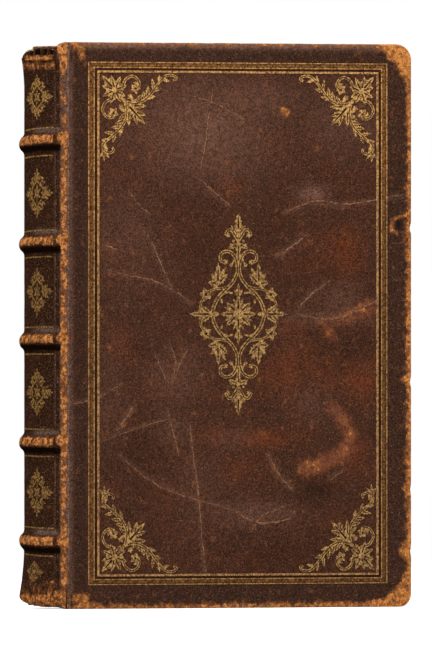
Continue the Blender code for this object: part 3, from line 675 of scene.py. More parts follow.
def roughened(verts, side):
    # Nicks and a ragged edge, and on the back cover the worn corners beside the spine
    dent = np.zeros(len(verts))
    for row, depth in NICKS:
        dent += depth * MM * peak(verts[:, 2], z_at(row), NICK_HALF)
    ragged = FORE_RAGGED * (1 + rumple(verts, 420, 9))
    verts[:, 0] -= (dent + ragged) * (1 - smooth_step(0, FORE_FADE, FORE_X - verts[:, 0]))
    lifted = HEAD_RAGGED * (1 + rumple(verts, 260, 5))
    verts[:, 2] -= lifted * (1 - smooth_step(0, HEAD_FADE, HEAD - verts[:, 2]))
    if side > 0:
        verts[:, 2] -= low_corner(verts[:, 0], verts[:, 2])
    return verts


def cover_skin(name, side, painted, body, replaced):
    flat_x, flat_z, faces, rim = cover_grid()
    verts = swelling_face(flat_x, flat_z, side)
    source = list(range(len(verts)))
    previous = rim
    for inset, depth in edge_profile():
        ring = list(range(len(verts), len(verts) + len(rim)))
        for k in rim:
            px, pz = rim_point(flat_x[k], flat_z[k], inset)
            verts.append([px, side * depth, pz])
        source += rim
        faces += zip(previous, previous[1:], ring[1:], ring)
        previous = ring
    values = {label: value[source] for label, value in painted(flat_x, flat_z).items()}
    add_piece(name, roughened(np.array(verts), side), faces, cover_leather, body, replaced,
              values, smooth=50, skin=SKIN)


print("drop of the low corner in mm:", float(low_corner(JOINT_X, HEAD)) / MM)

# %% [markdown]
# ## Wear painted on the covers
# These tables say where the leather is scuffed, rubbed red-brown, dusty or dark. Wear
# could be brushed on with Vertex Paint, but a row of numbers per mark can be read,
# moved and made weaker later. Warm patches are where red-brown dye shows, and the dusty
# ones where old dressing has dried.

# %% Scuffs and patches on the front cover
SCUFFS = (
    # path in the photograph, half-width in mm, strength
    (((342, 416), (351, 432), (349, 450), (340, 457)), 3.6, 0.29),
    (((304, 470), (312, 467), (322, 467)), 3.8, 0.37),
    (((284, 108), (288, 111)), 2.0, 0.48),
    (((394, 219), (402, 216), (409, 216)), 1.0, 0.66), (((393, 224), (395, 229), (399, 232)), 1.2, 0.66),
    (((75, 600), (85, 600)), 2.4, 0.86),
    (((87, 604), (96, 606)), 1.6, 0.6),
    (((74, 46), (80, 47), (83, 54)), 2.4, 0.62),
    (((124, 428), (134, 408)), 1.0, 0.34),
    (((345, 315), (356, 312), (368, 304)), 3.0, 0.36),
    (((324, 322), (334, 338)), 3.0, 0.32),
    (((268, 462), (290, 484)), 1.4, 0.22),
)
RUBBED_PATHS = (
    # path in the photograph, half-width in mm, strength of a softer rub
    (((334, 410), (346, 422), (352, 436), (349, 448), (340, 456), (322, 466), (306, 470)), 5.0, 1.0),
    (((330, 322), (348, 318), (364, 312), (376, 304)), 4.4, 0.7),
    (((328, 328), (336, 338)), 3.4, 0.7),
    (((300, 248), (314, 240)), 2.0, 0.5),
)
WARM_PATCHES = (
    # centre in the photograph, half-sizes in pixels, strength
    ((342, 252), (26, 32), 0.85), ((366, 314), (18, 10), 0.55), ((368, 380), (30, 30), 0.68),
    ((268, 440), (36, 13), 0.9), ((214, 436), (24, 12), 0.6), ((304, 372), (48, 34), 0.7),
    ((286, 112), (14, 9), 0.5), ((240, 470), (44, 26), 0.35), ((330, 520), (46, 36), 0.35),
    ((232, 186), (22, 15), 0.5), ((120, 345), (24, 34), 0.35), ((355, 450), (20, 26), 0.6),
    ((180, 540), (54, 32), 0.25), ((110, 250), (12, 9), 0.5), ((222, 560), (64, 11), 0.4),
    ((300, 262), (30, 20), 0.4), ((150, 470), (34, 22), 0.2), ((290, 330), (30, 20), 0.4),
)
DUST_PATCHES = (
    ((205, 128), (66, 50), 0.50), ((250, 100), (56, 26), 0.35), ((314, 193), (13, 9), 0.75),
    ((176, 375), (28, 30), 0.24), ((256, 515), (38, 13), 0.40), ((175, 430), (16, 18), 0.24),
    ((330, 318), (46, 8), 0.35), ((232, 440), (26, 11), 0.2), ((130, 235), (36, 56), 0.18),
    ((110, 400), (16, 64), 0.14), ((340, 300), (22, 18), 0.25), ((312, 404), (22, 18), 0.2),
    ((200, 490), (28, 44), 0.15), ((345, 120), (44, 34), 0.24),
)
DARK_PATCHES = (
    ((182, 205), (38, 20), 0.20), ((318, 492), (18, 12), 0.45), ((348, 345), (30, 18), 0.24),
    ((130, 460), (34, 30), 0.22), ((205, 245), (28, 26), 0.18), ((330, 275), (11, 11), 0.3),
    ((152, 352), (15, 13), 0.25), ((290, 560), (54, 18), 0.2), ((270, 215), (20, 34), 0.12),
)
print("scuffs and rubs:", len(SCUFFS) + len(RUBBED_PATHS), "dusty patches:", len(DUST_PATCHES))

# %% [markdown]
# Cracks are fine lines that hold dust, and the fore-edge is rubbed in a band whose width changes along it. A
# noise alone would spread both evenly, so their places are listed, and noise only frays their borders.

# %% Cracks and rubbed edges of the front cover
CRACKS = (
    # path in the photograph, half-width in mm, strength of the pale line
    (((128, 190), (140, 206), (150, 214)), 0.9, 0.5),
    (((142, 228), (153, 244), (161, 264), (172, 288)), 0.8, 0.8),
    (((107, 270), (130, 276), (152, 280), (176, 292), (192, 304)), 0.8, 0.75),
    (((171, 347), (176, 362), (172, 382)), 0.9, 0.7),
    (((188, 349), (180, 364), (170, 384), (155, 354)), 0.9, 0.8),
    (((119, 385), (98, 398), (70, 404)), 0.9, 0.7),
    (((134, 406), (118, 430)), 1.1, 0.8),
    (((100, 442), (137, 428), (169, 419), (178, 424)), 0.8, 0.6),
    (((168, 410), (179, 454)), 0.9, 0.7),
    (((190, 424), (193, 453), (198, 489), (202, 536), (206, 574)), 0.9, 0.8),
    (((120, 455), (150, 480), (180, 494), (240, 512)), 0.9, 0.7),
    (((213, 90), (208, 122), (206, 140), (200, 172)), 0.8, 0.5),
    (((190, 96), (215, 104), (245, 120)), 0.9, 0.4),
    (((198, 178), (214, 192), (230, 206)), 0.9, 0.65),
    (((285, 212), (315, 201), (344, 204), (373, 200), (404, 194)), 0.9, 0.75),
    (((279, 256), (292, 246), (308, 234)), 1.0, 0.8),
    (((300, 306), (314, 292), (331, 280)), 1.1, 0.75),
    (((300, 315), (324, 319), (345, 316), (367, 306), (384, 298)), 1.3, 0.9),
    (((269, 455), (280, 476), (293, 490)), 1.1, 0.8),
    (((252, 530), (262, 516), (286, 506)), 0.9, 0.8),
    (((236, 512), (260, 523), (290, 519)), 1.3, 0.85),
    (((345, 470), (330, 480)), 0.9, 0.6),
    (((105, 245), (118, 250)), 1.6, 0.6),
)
FORE_EDGE_WEAR = (
    # row of the photograph and the column where the rubbed edge begins
    (43, 374), (48, 381), (53, 387), (57, 391), (60, 396), (66, 399), (72, 402), (78, 405), (90, 407),
    (110, 408), (190, 408), (210, 407), (238, 407.5), (372, 407.5), (380, 402.5), (387, 407.5), (440, 408),
    (482, 407), (490, 403), (498, 407.5), (540, 407.5), (548, 404), (555, 401.5), (560, 405), (566, 407),
    (573, 406.5), (580, 404), (586, 399), (591, 396), (596, 391), (600, 384), (604, 372), (608, 350),
)
FORE_WEAR, HEAD_WEAR, TAIL_WEAR = (0.28, 4.6 * MM), (0.45, 2.2 * MM), (0.65, 4.0 * MM)
NICK_SHADOW = ((400.5, 222), (401.5, 226))
# Thin slits beside the joint at head and tail, painted dark as shade
BOARD_SLITS = (((73.2, 45), (72.8, 62)), ((72.6, 595), (72.8, 608)))
print("cracks:", len(CRACKS), "points along the fore-edge:", len(FORE_EDGE_WEAR))

# %% [markdown]
# A patch is strongest at its centre and fades outwards. Edge wear is a strength at the
# very edge and a distance over which it fades. Outside the outer fillet the leather is
# darker, with less dye and less dust.

# %% Wear that both covers share
FRAME_LOW, FRAME_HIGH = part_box("front_outer_fillet")
MARGIN_SOFT = (-1.5 * MM, 0.5 * MM)


def blobs(x, z, patches):
    # The strongest of several soft patches
    value = np.zeros_like(x)
    for (column, row), (half_x, half_z), strength in patches:
        dx = (x - x_at(column)) / (half_x * PIXEL / math.cos(VIEW_ANGLE))
        dz = (z - z_at(row)) / (half_z * PIXEL)
        value = np.maximum(value, strength * np.exp(-(dx ** 2 + dz ** 2)))
    return value


def edge_wear(x, z):
    # Rubbed fore-edge, corners, head and tail, which both covers have
    rows, columns = zip(*FORE_EDGE_WEAR)
    boundary = x_at(np.interp(PIXEL_OF_TAIL - z / PIXEL, rows, columns))
    worn = strongest(
        FORE_WEAR[0] + (x - boundary) / FORE_WEAR[1],
        HEAD_WEAR[0] - (HEAD - z) / HEAD_WEAR[1],
        TAIL_WEAR[0] - z / TAIL_WEAR[1])
    return np.clip(worn, 0, 1.1)


def outside_frame(x, z):
    # 1 in the margin outside the outer fillet and 0 inside it
    across = np.minimum(x - FRAME_LOW[0], FRAME_HIGH[0] - x)
    return 1 - smooth_step(*MARGIN_SOFT, np.minimum(across, np.minimum(z - FRAME_LOW[2], FRAME_HIGH[2] - z)))


print("the frame's corners in mm:", [round(v / MM, 1) for v in (*FRAME_LOW, *FRAME_HIGH)])

# %% [markdown]
# Each cover's paint is four masks over its face. On the back cover, which the photograph
# doesn't show, smooth noise takes the place of the tables.

# %% Paint and make both covers


def front_paint(x, z):
    outside = outside_frame(x, z)
    scuffed = [strength * near_path(x, z, pixels, 0, width * 1.6 * MM) for pixels, width, strength in SCUFFS]
    rubbed = strongest(*(strength * near_path(x, z, pixels, 0.2 * width * MM, width * MM)
                         for pixels, width, strength in RUBBED_PATHS))
    cracked = strongest(*(strength * near_path(x, z, pixels, 0, 2.2 * width * MM)
                          for pixels, width, strength in CRACKS))
    dyed = np.maximum(blobs(x, z, WARM_PATCHES), 0.20)
    dust = strongest(
        blobs(x, z, DUST_PATCHES) * (1 - 0.6 * outside),
        0.24 * rubbed,
        0.45 * cracked,
        # Near the joint a painted sheen, and along the head rim a painted highlight
        0.50 * (1 - smooth_step(1.6 * MM, 3.8 * MM, x - JOINT_X)),
        1.1 * peak(z, HEAD, 1.6 * MM) * smooth_step(0, 8 * MM, FORE_X - x))
    shade = strongest(
        blobs(x, z, DARK_PATCHES),
        (0.07 + 0.13 * (x < FRAME_LOW[0])) * outside,
        0.9 * near_path(x, z, NICK_SHADOW, 0.6 * MM, 1.5 * MM),
        # Painted shade in the slits beside the joint
        *(0.9 * near_path(x, z, slit, 0.1 * MM, 0.7 * MM) for slit in BOARD_SLITS))
    return {"worn": strongest(edge_wear(x, z), *scuffed), "dust": dust,
            "warm": np.maximum(dyed * (1 - 0.8 * outside), 1.30 * rubbed), "shade": shade}


def back_paint(x, z):
    outside = outside_frame(x, z)
    places = np.stack([x, np.ones_like(x), z], axis=1)
    warm = 0.2 + 0.3 * smooth_step(0.0, 0.6, rumple(places, 22, 4)) * (1 - outside)
    dust = np.maximum(0.45 * smooth_step(0.15, 0.55, rumple(places, 16, 7)),
                      # A painted sheen near the joint
                      0.50 * (1 - smooth_step(2.2 * MM, 4.4 * MM, x - JOINT_X)))
    low_corner_wear = 1.0 - ((x - JOINT_X) / (13 * MM)) ** 2 - ((HEAD - z) / (5 * MM)) ** 2
    worn = np.maximum(0.92 * edge_wear(x, z), low_corner_wear)
    return {"worn": np.clip(worn, 0, 1), "dust": dust, "warm": warm, "shade": 0.2 * outside}


cover_skin("front_cover_skin", -1, front_paint, "front_cover", ["front_leather"])
cover_skin("back_cover_skin", 1, back_paint, "back_cover", ["back_leather"])

# %% [markdown]
# The board of the back cover would show above its worn corner. It could be cut with a
# Boolean, but a plate whose outline follows the same rule as the leather fits exactly.

# %% Worn back board
BOARD_WALL, BOARD_COVERED, BOARD_THICK = 1.15 * MM, 0.9 * MM, 2.3 * MM
BOARD_STEPS, BOARD_CORNER_STEPS = 40, 8


def worn_board():
    # The back board follows its leather down at the worn corner
    wall = BOARD_WALL
    outline = [(JOINT_X + share * (FORE_X - wall - HEAD_CORNER - JOINT_X), HEAD - wall)
               for share in np.linspace(0, 1, BOARD_STEPS)]
    outline = [(x, z - float(low_corner(x, HEAD))) for x, z in outline]
    corners = ((HEAD_CORNER, HEAD - wall - HEAD_CORNER, 90), (TAIL_CORNER, wall + TAIL_CORNER, 0))
    for radius, middle_z, start in corners:
        middle_x = FORE_X - wall - radius
        for step in range(BOARD_CORNER_STEPS + 1):
            turn = math.radians(start - 90 * step / BOARD_CORNER_STEPS)
            outline.append((middle_x + radius * math.cos(turn), middle_z + radius * math.sin(turn)))
    for share in np.linspace(1, 0, BOARD_STEPS)[1:]:
        x = JOINT_X + share * (FORE_X - wall - TAIL_CORNER - JOINT_X)
        outline.append((x, wall - float(low_corner(x, 0.0))))
    outer = HALF_BOOK - BOARD_COVERED
    verts, faces = tube_rings([[(x, y, z) for x, z in outline] for y in (outer, outer - BOARD_THICK)])
    add_piece("back_board_worn", verts, faces, pasteboard, "back_cover", ["back_board"])


worn_board()

# %% [markdown]
# ## Cracks and scratches
# Dry leather cracks, and the cracks catch dust. A shader could draw cracks, but not
# where these are, so each is a very thin pale ribbon along its own path. The same
# curves and ribbons serve the gold tools later.

# %% Curves and ribbons


def smooth_path(points, steps):
    # A curve that passes through all the given points
    padded = [points[0]] + list(points) + [points[-1]]
    drawn = []
    for k in range(1, len(padded) - 2):
        p0, p1, p2, p3 = (Vector(p) for p in padded[k - 1:k + 3])
        for step in range(steps):
            t = step / steps
            drawn.append(0.5 * (2 * p1 + (p2 - p0) * t + (2 * p0 - 5 * p1 + 4 * p2 - p3) * t * t
                                + (3 * p1 - p0 - 3 * p2 + p3) * t ** 3))
    return drawn + [Vector(points[-1])]


def across_path(path, k):
    along = path[min(k + 1, len(path) - 1)] - path[max(k - 1, 0)]
    return Vector((-along.y, along.x)).normalized()


def ribbon(path, start_width, end_width):
    left, right = [], []
    for k, point in enumerate(path):
        half = (start_width + (end_width - start_width) * k / (len(path) - 1)) / 2
        left.append(point + across_path(path, k) * half)
        right.append(point - across_path(path, k) * half)
    return right + left[::-1]


print("points on a curve through three places:", len(smooth_path([(0, 0), (1, 1), (2, 0)], 4)))

# %% [markdown]
# A crack wanders a little from its path, swells and thins, and tapers off at both ends.
# It stands 0.05 mm over the leather, so that it shows but casts no shadow.

# %% Draw the cracks
CRACK_TOP = 0.05 * MM
CRACK_FOOT = 0.35 * MM
CRACK_STEPS = 14
CRACK_WANDER = 0.45 * MM
CRACK_HALF, CRACK_SWELL = 0.04, 0.34


def crack_rings(pixels, width, strength):
    # Four points round the ribbon at each step of its wandering path
    path = smooth_path(path_on_cover(pixels), CRACK_STEPS)
    face = -HALF_BOOK - CRACK_TOP
    rings = []
    for k, point in enumerate(path):
        wander = noise.noise(Vector((point.x * 700, point.y * 700, 3)))
        wander += 0.6 * noise.noise(Vector((point.x * 2200, point.y * 2200, 5)))
        swell = 0.75 + 0.7 * noise.noise(Vector((point.x * 1500, point.y * 1500, 9)))
        taper = math.sin(math.pi * (k + 0.3) / (len(path) - 0.4)) ** 0.5
        half = (CRACK_HALF + CRACK_SWELL * strength * taper * swell) * width * MM
        across = across_path(path, k)
        middle = point + across * CRACK_WANDER * wander
        low, high = middle - across * half, middle + across * half
        rings.append([(low.x, face + CRACK_FOOT, low.y), (low.x, face, low.y),
                      (high.x, face, high.y), (high.x, face + CRACK_FOOT, high.y)])
    return rings


def cover_cracks():
    verts, faces = joined_tubes([crack_rings(*crack) for crack in CRACKS])
    add_piece("cover_cracks", verts, faces, crack_leather, "front_cover", ())


cover_cracks()

# %% [markdown]
# ## The spine
# One skin is moulded over five cords and turned in at head and tail. It could be
# sculpted, but the gold must follow the same surface, so it is made by rule: a plan, and
# a lift outwards from it at each height. The plan is the rounded back with a ridge on
# each side, and half of it is worked out and mirrored.

# %% Spine plan
RIDGE_STEPS = 14
ARC_STEPS = 64


def column_at(x, y):
    return IMAGE_WIDTH / 2 + (along_view(x, y) - VIEW_CENTRE) * NEARER / PIXEL


def half_plan():
    ridge_y = HALF_BOOK - RIDGE_ROUND
    groove = math.acos(1 - JOINT_DEPTH / RIDGE_ROUND)
    end_x = JOINT_X - JOINT_GAP
    start_x = RIDGE_X + RIDGE_ROUND * math.sin(groove)
    plan = [((end_x + (start_x - end_x) * k / 2, HALF_BOOK - JOINT_DEPTH), 90) for k in range(2)]
    first = 90 + math.degrees(groove)
    last = math.degrees(RIDGE_ANGLE)
    for step in range(RIDGE_STEPS):
        turn = first + (last - first) * step / RIDGE_STEPS
        facing = math.radians(turn)
        point = (RIDGE_X - RIDGE_ROUND * math.cos(facing), ridge_y + RIDGE_ROUND * math.sin(facing))
        plan.append((point, turn if step else 90 + math.degrees(groove) / 2))
    for step in range(ARC_STEPS // 2 + 1):
        turn = last * (1 - 2 * step / ARC_STEPS)
        facing = math.radians(turn)
        point = (SPINE_CENTRE_X - SPINE_RADIUS * math.cos(facing), SPINE_RADIUS * math.sin(facing))
        plan.append((point, turn))
    return plan


def spine_plan():
    back = half_plan()
    front = [((x, -y), -turn) for (x, y), turn in back]
    return front + back[-2::-1]


print("spine plan:", len(spine_plan()), "stations")

# %% [markdown]
# The lift makes the bands and caps, and is never more than the covers' plane allows. The
# bands lean: they stand apart on the front side and draw together towards the back,
# where the slack leather also bulges a little.

# %% Spine lift
HEAD_BULGE, TAIL_BULGE = 1.05 * MM, 1.88 * MM
CAP_ROUND = 2.2 * MM
CAP_DEPTH = 3.0 * MM
CAP_REACH, TAIL_REACH = 13 * MM, 22 * MM
SLUMP = (0.18 * MM, 0.27 * MM)
SLACK_TURNS = (7, 20)
LEAN = 0.0135
LEAN_MIDDLE = 90 * MM
FRONT_TURN, BACK_TURN = -17.4, 20.0


def lean(z, turn):
    # How far a band stands above or below its cord, which grows from the back to the front side
    share = np.clip((BACK_TURN - np.asarray(turn, dtype=float)) / (BACK_TURN - FRONT_TURN), 0, 1)
    return LEAN * (z - LEAN_MIDDLE) * np.sin(share * math.pi / 2)


def band_lift(z):
    lift = np.zeros_like(z)
    for height in BANDS:
        offset = np.abs(z - height) / (BAND_WIDTH / 2)
        bead = BAND_HEIGHT * np.sqrt(np.clip(1 - offset ** 2, 0, 1))
        skirt = 0.33 * BAND_HEIGHT * np.exp(-((np.maximum(offset - 0.85, 0)) / 0.3) ** 2)
        lift = np.maximum(lift, np.maximum(bead, np.where(offset > 0.85, skirt, 0)))
    return lift


def cap_lift(near_end, bulge, reach):
    share = np.clip(1 - near_end / CAP_DEPTH, 0, 1)
    rounded = bulge - (bulge + CAP_ROUND) * (1 - np.sqrt(1 - share ** 2))
    faded = bulge * (1 - np.clip((near_end - CAP_DEPTH) / reach, 0, 1)) ** 2
    return np.where(near_end < CAP_DEPTH, rounded, faded)


def slump(turn, lift):
    # How much further the slack leather stands out towards its back side
    return smooth_step(*SLACK_TURNS, turn) * (SLUMP[0] + SLUMP[1] * np.clip(lift / BAND_HEIGHT, 0, 1))


def room_beside_cover(turn):
    # How far the skin may rise before it passes the plane of the covers
    slant = np.abs(np.sin(np.radians(turn)))
    limit = RIDGE_ROUND * (1 / np.maximum(slant, 1e-6) - 1)
    most = BAND_HEIGHT + slump(turn, BAND_HEIGHT)
    limit = np.where(slant < math.sin(RIDGE_ANGLE), most, limit)
    return np.where(np.abs(turn) > 90, 0, np.minimum(limit, most))


print("lift at each band in mm:", [round(float(v) / MM, 2) for v in band_lift(np.array(BANDS))])

# %% [markdown]
# The skin is worn where it stands out: on the upper side of each band, which is also painted lighter as the
# side that light falls on, along both ridges, and at the two caps. Under each band the skin is painted
# near-black as the band's shadow. The headcap is torn: the hollows between frayed strands are painted dark as
# shade, above a bare ledge.

# %% Marks on the spine
TEAR_ROWS = (48.8, 54.6)
TEAR_COLUMNS = ((28.4, 31.8), (33.6, 39.8), (42.2, 46.0), (48.6, 52.4))
LEDGE_ROW = 58.0
BACK_SIDE = 19
SPLIT_ROW = 587
RIDGE_COLUMNS = (60.2, 68.5)
RIDGE_CROWN = (64.2, 2.6)
LOWER_RIDGE_ROWS, TOP_RIDGE_ROWS = (120, 165), (60, 84)
# A knob's column and its place on the band, its half-sizes, and its softness
KNOB, KNOB_REACH, KNOB_SOFT = (62.6, 0.40), (7.0, 0.85), (0.7, 1.15)
EYE, EYE_HALF = (65.0, 1.5), 0.5


def torn_hollows(column, row):
    # Where the skin of the headcap has gone between the remaining strands
    holes = np.zeros_like(column)
    for first, last in TEAR_COLUMNS:
        holes = np.maximum(holes, window(column, first, last, 0.55))
    return window(row, TEAR_ROWS[0], TEAR_ROWS[1], 0.7) * holes


def band_offset(z, turn, height):
    # 0 at the middle of a band, 1 at its upper edge and -1 at its lower edge
    return (z - lean(z, turn) - height) / (BAND_WIDTH / 2)


def knobs_and_eyes(z, turn, column):
    # Where each band ends on the front ridge in a rubbed knob, with a dark spot beside it
    knob, eye = np.zeros_like(z), np.zeros_like(z)
    for height in BANDS:
        offset = band_offset(z, turn, height)
        reach = np.hypot((column - KNOB[0]) / KNOB_REACH[0], (offset - KNOB[1]) / KNOB_REACH[1])
        knob = np.maximum(knob, 1 - smooth_step(*KNOB_SOFT, reach))
        eye = np.maximum(eye, peak(column, *EYE) * peak(offset, KNOB[1], EYE_HALF))
    return knob, eye


def ridge_strength(row, column, front):
    # The front ridge is rubbed more towards the tail, most on its crown, and both near the head
    lower = smooth_step(*LOWER_RIDGE_ROWS, row)
    rubbed = 0.38 + 0.10 * lower + 0.14 * peak(column, *RIDGE_CROWN) * lower
    return np.maximum(np.where(front, rubbed, 0.6), 0.80 * (1 - smooth_step(*TOP_RIDGE_ROWS, row)))


print("columns of the torn hollows:", TEAR_COLUMNS)

# %% [markdown]
# Each line below is one mark: its strength, and the rows, the columns or the side of the
# spine where it lies. Where marks meet, the strongest one counts.

# %% Paint of the spine


def spine_paint(turn, z, column, hollow):
    row = spine_row(z)
    front = turn < 30
    on_back = np.abs(turn) < BACK_SIDE
    above, below, painted_crest_highlight = (np.zeros_like(z) for _ in range(3))
    for height in BANDS:
        offset = band_offset(z, turn, height)
        # The upper side of each band: worn, and painted lighter as the lit side
        above = np.maximum(above, window(offset, -0.33, 0.86, 0.16))
        # A strip above each band, painted paler as a highlight
        painted_crest_highlight = np.maximum(painted_crest_highlight, peak(offset, 1.45, 0.35))
        # Below each band, where its painted shadow lies
        below = np.maximum(below, window(offset, -1.32, -0.46, 0.14))
    knob, eye = knobs_and_eyes(z, turn, column)
    wider = 3.0 * (1 - smooth_step(52, 66, row))
    front_ridge = window(column + wider, RIDGE_COLUMNS[0], RIDGE_COLUMNS[1] + wider, 1.5)
    ridge = np.where(front, front_ridge, peak(np.abs(turn), 88, 34))
    worn = strongest(
        # Worn upper sides of the bands, partly wear and partly painted light
        0.66 * above * on_back,
        ridge * ridge_strength(row, column, front),
        0.85 * knob * front,
        0.50 * (peak(row, 47.0, 1.5) + peak(row, 55.6, 1.0)) * on_back,
        0.85 * peak(row, LEDGE_ROW, 2.3) * window(column, 24, 53, 3) * on_back,
        0.42 * window(row, 60, 70, 2) * on_back,
        0.62 * peak(row, 66, 1.1) * window(column, 36, 54, 2) * on_back,
        (0.35 + 0.24 * smooth_step(593, 598, row)) * smooth_step(572, 594, row) * on_back,
        0.42 * window(column, 46, 64, 3) * smooth_step(566, 590, row))
    shade = strongest(
        # Painted shadow under each band
        0.98 * below * (column < 60.5),
        # Painted shade in the torn hollows of the headcap and in the crack under its bare ledge
        0.98 * hollow,
        0.75 * peak(row, 61.6, 0.9) * on_back,
        0.55 * peak(column, 59.0, 0.8) * (1 - above) * (1 - knob) * on_back,
        0.45 * eye * front,
        0.45 * peak(column, 58.0, 1.6) * (row < 66) * on_back,
        # Painted shade in the slit between spine and cover at the tail
        0.6 * peak(column, 66.9, 0.7) * (row > SPLIT_ROW) * front)
    dust = strongest(
        # A painted highlight beside the ridge, and a painted highlight along the crest above each band
        0.30 * peak(column, 56.2, 1.6) * (1 - above) * (1 - below) * on_back,
        0.45 * painted_crest_highlight * window(column, 34, 60, 5),
        0.35 * ridge)
    # Warmer on the bands' upper sides, which are worn and painted lighter as lit
    return {"worn": worn, "dust": dust, "warm": 0.5 * above + 0.4 * ridge + 0.25, "shade": shade}


print("bands on the spine, rows of the photograph:", [round(float(spine_row(z))) for z in BANDS])

# %% [markdown]
# The skin's stations stand closer together near its two ends, where the caps curl over
# and the leather is torn. An even grid as fine as that would be twice the size.

# %% Heights and ends of the spine skin
FINE_END = 12 * MM
FINE_PITCH, COARSE_PITCH = 0.34 * MM, 0.75 * MM
TORN_EDGE = 0.10 * MM
TOP_OUTLINE = ((24.3, 50.2), (26, 49.6), (28, 48.8), (32, 47.5), (36, 47.0), (44, 46.9), (50, 47.6),
               (54.0, 47.8), (56.0, 45.5), (57.2, 43.9))
BOTTOM_OUTLINE = ((24.3, 604.6), (28, 605.8), (32, 606.7), (36, 607.5), (41, 607.6))


def torn_edge(turn, seed):
    # Height noise of a torn edge along the spine
    return np.array([noise.noise(Vector((t * 0.12, seed, 0))) + 0.5 * noise.noise(Vector((t * 0.4, seed, 3)))
                     for t in turn])


def spine_heights():
    fine = int(FINE_END / FINE_PITCH)
    coarse = int((HEAD - 2 * FINE_END) / COARSE_PITCH)
    low = [k / fine * FINE_END / HEAD for k in range(fine)]
    middle = [(FINE_END + (HEAD - 2 * FINE_END) * k / coarse) / HEAD for k in range(coarse)]
    return np.array(low + middle + [1 - share for share in reversed(low)])


def spine_ends(turn, column):
    # The outline at tail and head. The hidden side takes it from the last place that is seen
    column = np.where(turn > 28, TOP_OUTLINE[0][0], column)
    bottom = np.maximum(spine_z(np.interp(column, *zip(*BOTTOM_OUTLINE))), 0)
    top = spine_z(np.interp(column, *zip(*TOP_OUTLINE)))
    return (bottom + TORN_EDGE * (1 + torn_edge(turn, 5.0)),
            np.minimum(top - TORN_EDGE * (1 + torn_edge(turn, 1.0)), HEAD))


print("heights of the spine skin:", len(spine_heights()))

# %% [markdown]
# Lift, tears and small hollows are added up at every point and pushed outwards along the
# way that the spine faces there. The rough places only sink in, so they stay inside the
# solid, as the dressed book has to.

# %% Spine skin
TEAR_DEPTH = 0.7 * MM
SPINE_SKIN = 0.7 * MM


def spine_lift(z, turn, bottom, top):
    # How far the skin stands out over bands and at the caps, and the bands' part in it
    bands = band_lift(z - lean(z, turn))
    caps = np.where(z < HEAD / 2, cap_lift(z - bottom, TAIL_BULGE, TAIL_REACH),
                    cap_lift(top - z, HEAD_BULGE, CAP_REACH))
    lift = np.where(caps < 0, caps, np.maximum(caps, bands))
    lift = lift + slump(turn, lift) * (z > CAP_DEPTH / 2) * (top - z > CAP_DEPTH)
    ridge_turn = math.degrees(RIDGE_ANGLE)
    past = np.clip((np.abs(turn) - ridge_turn) / (90 - ridge_turn), 0, 1)
    return np.where(lift > 0, np.minimum(lift, room_beside_cover(turn)), lift * (1 - past) ** 2), bands


def spine_roughness(points, near_end, bands):
    # Small hollows, deeper near the two ends and on the bands
    rough = 0.07 * MM * rumple(points, 260, 2) + 0.04 * MM * rumple(points, 900, 4)
    deeper = 0.16 * MM * np.exp(-near_end / (7 * MM)) + 0.10 * MM * bands / BAND_HEIGHT
    rough = rough.reshape(bands.shape) - deeper * (1 + rumple(points, 620, 6).reshape(bands.shape))
    return np.minimum(rough, 0)


def spine_skin():
    plan = spine_plan()
    turn = np.array([facing for _, facing in plan], dtype=float)
    plan_x, plan_y = np.array([point for point, _ in plan]).T
    bottom, top = spine_ends(turn, column_at(plan_x, plan_y))
    shares = spine_heights()
    z = bottom + (top - bottom) * shares[:, None]
    turn = np.broadcast_to(turn, z.shape)
    out_x, out_y = -np.cos(np.radians(turn)), np.sin(np.radians(turn))
    lift, bands = spine_lift(z, turn, bottom, top)
    proud = np.maximum(lift, 0)
    column = column_at(plan_x + proud * out_x, plan_y + proud * out_y)
    hollow = torn_hollows(column, spine_row(z)) * (np.abs(turn) < BACK_SIDE)
    points = np.stack(np.broadcast_arrays(plan_x, plan_y, z), axis=2).reshape(-1, 3)
    lift = lift - TEAR_DEPTH * hollow + spine_roughness(points, np.minimum(z - bottom, top - z), bands)
    verts = np.stack([plan_x + lift * out_x, plan_y + lift * out_y, z], axis=2).reshape(-1, 3)
    painted = {label: values.ravel() for label, values in spine_paint(turn, z, column, hollow).items()}
    add_piece("spine_skin", verts, grid_faces(len(shares), len(plan)), spine_leather, "text_block",
              ["spine_leather"], painted, smooth=60, skin=SPINE_SKIN)


spine_skin()

# %% [markdown]
# ## The joints
# Between ridge and board the leather is free to fold: it is the real hinge. Bones or cloth could bend it.
# Here a narrow strip bridges the groove on each side and stays where it is made.

# %% Joint leather
JOINT_ROWS = 300
STRIP_STEPS = 14
STRIP_START_X, STRIP_END_X = RIDGE_X + 0.25 * MM, JOINT_X + 0.9 * MM
STRIP_LOW, STRIP_TOP = 0.2 * MM, 0.4 * MM
STRIP_SAG = 0.14 * MM
STRIP_ROUGH, STRIP_TUCK, STRIP_PROUD = 0.05 * MM, 0.08 * MM, 0.03 * MM
STRIP_SKIN = 0.25 * MM
BACK_STRIP_DROP, BACK_STRIP_RISE = 3.0 * MM, 1.1 * MM
CREASE, CREASE_DEPTH = (JOINT_X - 0.25 * MM, 0.35 * MM), 0.35 * MM
RIDGE_END_COLUMNS = (66.0, 69.0)


def strip_depth(x, z, share, side, split):
    # How far the strip lies from the book's middle plane: it sags between ridge and board
    over_groove = np.clip((x - STRIP_START_X) / (JOINT_X - STRIP_START_X), 0, 1)
    sag = STRIP_SAG * np.sin(np.pi * over_groove) + CREASE_DEPTH * peak(x, *CREASE) * split
    places = np.stack([x, np.full_like(x, side), z], axis=1)
    sag = sag + STRIP_ROUGH * np.abs(rumple(places, 900, 2)) + STRIP_TUCK * np.exp(-share / 0.06)
    return HALF_BOOK + STRIP_PROUD - sag


